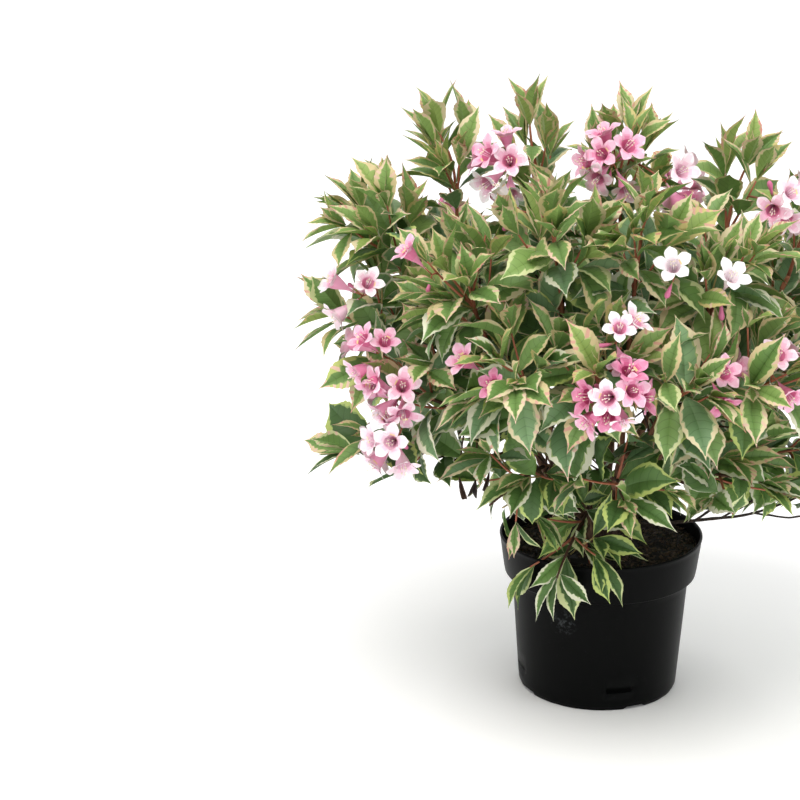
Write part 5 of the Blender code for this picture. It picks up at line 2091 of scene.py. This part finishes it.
@dataclass
class Studio:
    """Pale floor, soft light and the photograph's camera."""

    camera_place: tuple[float, float, float] = (-0.2238, -2.5, 1.134)
    camera_pitch: float = 72.2
    lens: float = 108.0
    # Middle of the floor's painted shadow, a little in front of the pot
    shade_middle: tuple[float, float, float] = (0.0, -0.05, 0.0)
    air: float = 0.45
    aim: float = 0.35

    # Place, size, power and colour of each lamp
    LAMPS = {
        "key": ((-0.6, -1.15, 2.9), 2.0, 59.0, "#fffcf7"),
        "fill": ((1.9, -1.3, 1.9), 1.5, 12.0, "#fcfdff"),
        "rim": ((0.4, 2.3, 2.9), 1.5, 20.0, "#ffffff"),
    }
    # The floor's section as radius and height
    FLOOR = ((0.01, 0.0), (5.6, 0.0), (6.4, 0.12), (7.1, 0.50), (7.6, 1.15), (7.8, 2.0), (7.8, 3.4))
    # Painted light: the paper glows a little away from the shrub, which leaves a painted shadow round the
    # pot: from, to, and how much
    PAINTED_GLOWS = ((0.070, 0.19, 0.14), (0.16, 1.0, 0.24))

    def build(self) -> None:
        """Make the floor, the lights and the camera."""
        self.floor()
        for name, (place, size, power, colour) in self.LAMPS.items():
            self.light(name, place, size, power, colour)
        world = bpy.data.worlds.new("studio_air")
        world.use_nodes = True
        bpy.context.scene.world = world
        sky = world.node_tree.nodes["Background"]
        sky.inputs["Color"].default_value = (1.0, 1.0, 1.0, 1.0)
        sky.inputs["Strength"].default_value = self.air
        bpy.context.scene.view_settings.view_transform = "Standard"
        bpy.context.scene.view_settings.look = "None"
        data = bpy.data.cameras.new("photo_camera")
        data.lens = self.lens
        data.sensor_width = 36.0
        data.clip_end = 50.0
        camera = show("photo_camera", data)
        camera.location = self.camera_place
        camera.rotation_euler = (math.radians(self.camera_pitch), 0.0, 0.0)
        bpy.context.scene.camera = camera

    def floor(self) -> None:
        """Make the pale round floor, which curves up into a wall far away on all sides."""
        batch = Batch()
        sides = 96
        points = []
        for radius, height in self.FLOOR:
            for side in range(sides):
                turn = 2 * math.pi * side / sides
                points.append((radius * math.cos(turn), radius * math.sin(turn), height - 0.0004))
        batch.add(np.array(points), grid_quads(len(self.FLOOR), sides, True), 0)
        material, tree, out = new_material("floor_paper")
        place = add_node(tree, "ShaderNodeTexCoord").outputs["Object"]
        distance = {"operation": "DISTANCE", 1: self.shade_middle}
        away = add_node(tree, "ShaderNodeVectorMath", distance, {0: place}).outputs["Value"]
        near, far = (add_range(tree, away, (least, most), (0.0, glow)) for least, most, glow in self.PAINTED_GLOWS)
        # The floor's glow is painted light that grows with distance from the shade middle, so that a painted
        # shadow stays round the pot
        settings = {"Base Color": linear("#fbfbfb"), "Roughness": 0.9, "Emission Color": linear("#ffffff")}
        add_surface(tree, out, settings, {"Emission Strength": add_math(tree, "ADD", near, far)})
        floor = batch.piece("floor", [material])

    def light(self, name: str, place: tuple, size: float, power: float, colour: str) -> None:
        """Add a soft square lamp that faces the shrub."""
        data = bpy.data.lights.new(name, "AREA")
        data.size = size
        data.energy = power
        data.color = linear(colour)[:3]
        lamp = show(name, data)
        lamp.location = place
        way = Vector(place) - UP * self.aim
        lamp.rotation_euler = way.to_track_quat("Z", "Y").to_euler()


# Putting it together


def seat(piece: bpy.types.Object, slot: str, *nodes: str) -> None:
    """Tell the frame what a piece rides on and stands for.

    Args:
        piece: The piece.
        slot: Material slot of the record; not used.
        nodes: CAD nodes that it stands for.
    """
    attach(piece, "root")
    if nodes:
        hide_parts(*nodes)
    LOG.info("%s: %d faces", piece.name, len(piece.data.polygons))


def main() -> None:
    """Build the studio, the pot, the compost and the shrub."""
    logging.basicConfig(level=logging.INFO, format="%(message)s")
    # Vector noise starts from the clock unless it is given a seed
    noise.seed_set(NOISE_SEED)
    Studio().build()

    seat(NurseryPot().piece(), "black_plastic", "pot")
    compost = Compost()
    bed = compost.surface()
    seat(bed, "compost", "soil")
    seat(compost.litter(bed), "compost", "soil")

    stems = Stems()
    stems.lay_out()
    seat(stems.stool_piece(), "old_bark", "stool")
    boughs = stems.bough_batch().piece("bough_wood", [STEM_BARK.build()])
    seat(boughs, "young_bark", *(f"bough_{mass.name}" for mass in MASSES))
    seat(stems.dead_twig_batch().piece("dead_wood", [DEAD_BARK.build()]), "dead_bark", "dead_twig")

    garden = Garden(stems)
    garden.grow()
    for name, batch in sorted(garden.foliage.batches.items()):
        piece = batch.piece(f"leaves_{name}", garden.foliage.finishes)
        seat(piece, "leaves", *(f"mass_{mass.name}" for mass in MASSES if mass.piece() == name))
    every_mass = [f"mass_{mass.name}" for mass in MASSES]
    twig_finishes = [t.build() for t in (TWIG_RED, TWIG_BROWN, TWIG_GREEN)]
    seat(garden.twigs.piece("twigs", twig_finishes), "young_bark", *every_mass)
    seat(garden.blossom.batch.piece("blossom", garden.blossom.finishes), "leaves", *every_mass)
    LOG.info("triangles %s", {name: 2 * batch.faces() for name, batch in garden.foliage.batches.items()})
    counts = (garden.foliage.count, garden.blossom.flowers, garden.shoot_count)
    LOG.info("%d leaves, %d flowers, %d shoots", *counts)


if __name__ == "__main__":
    main()
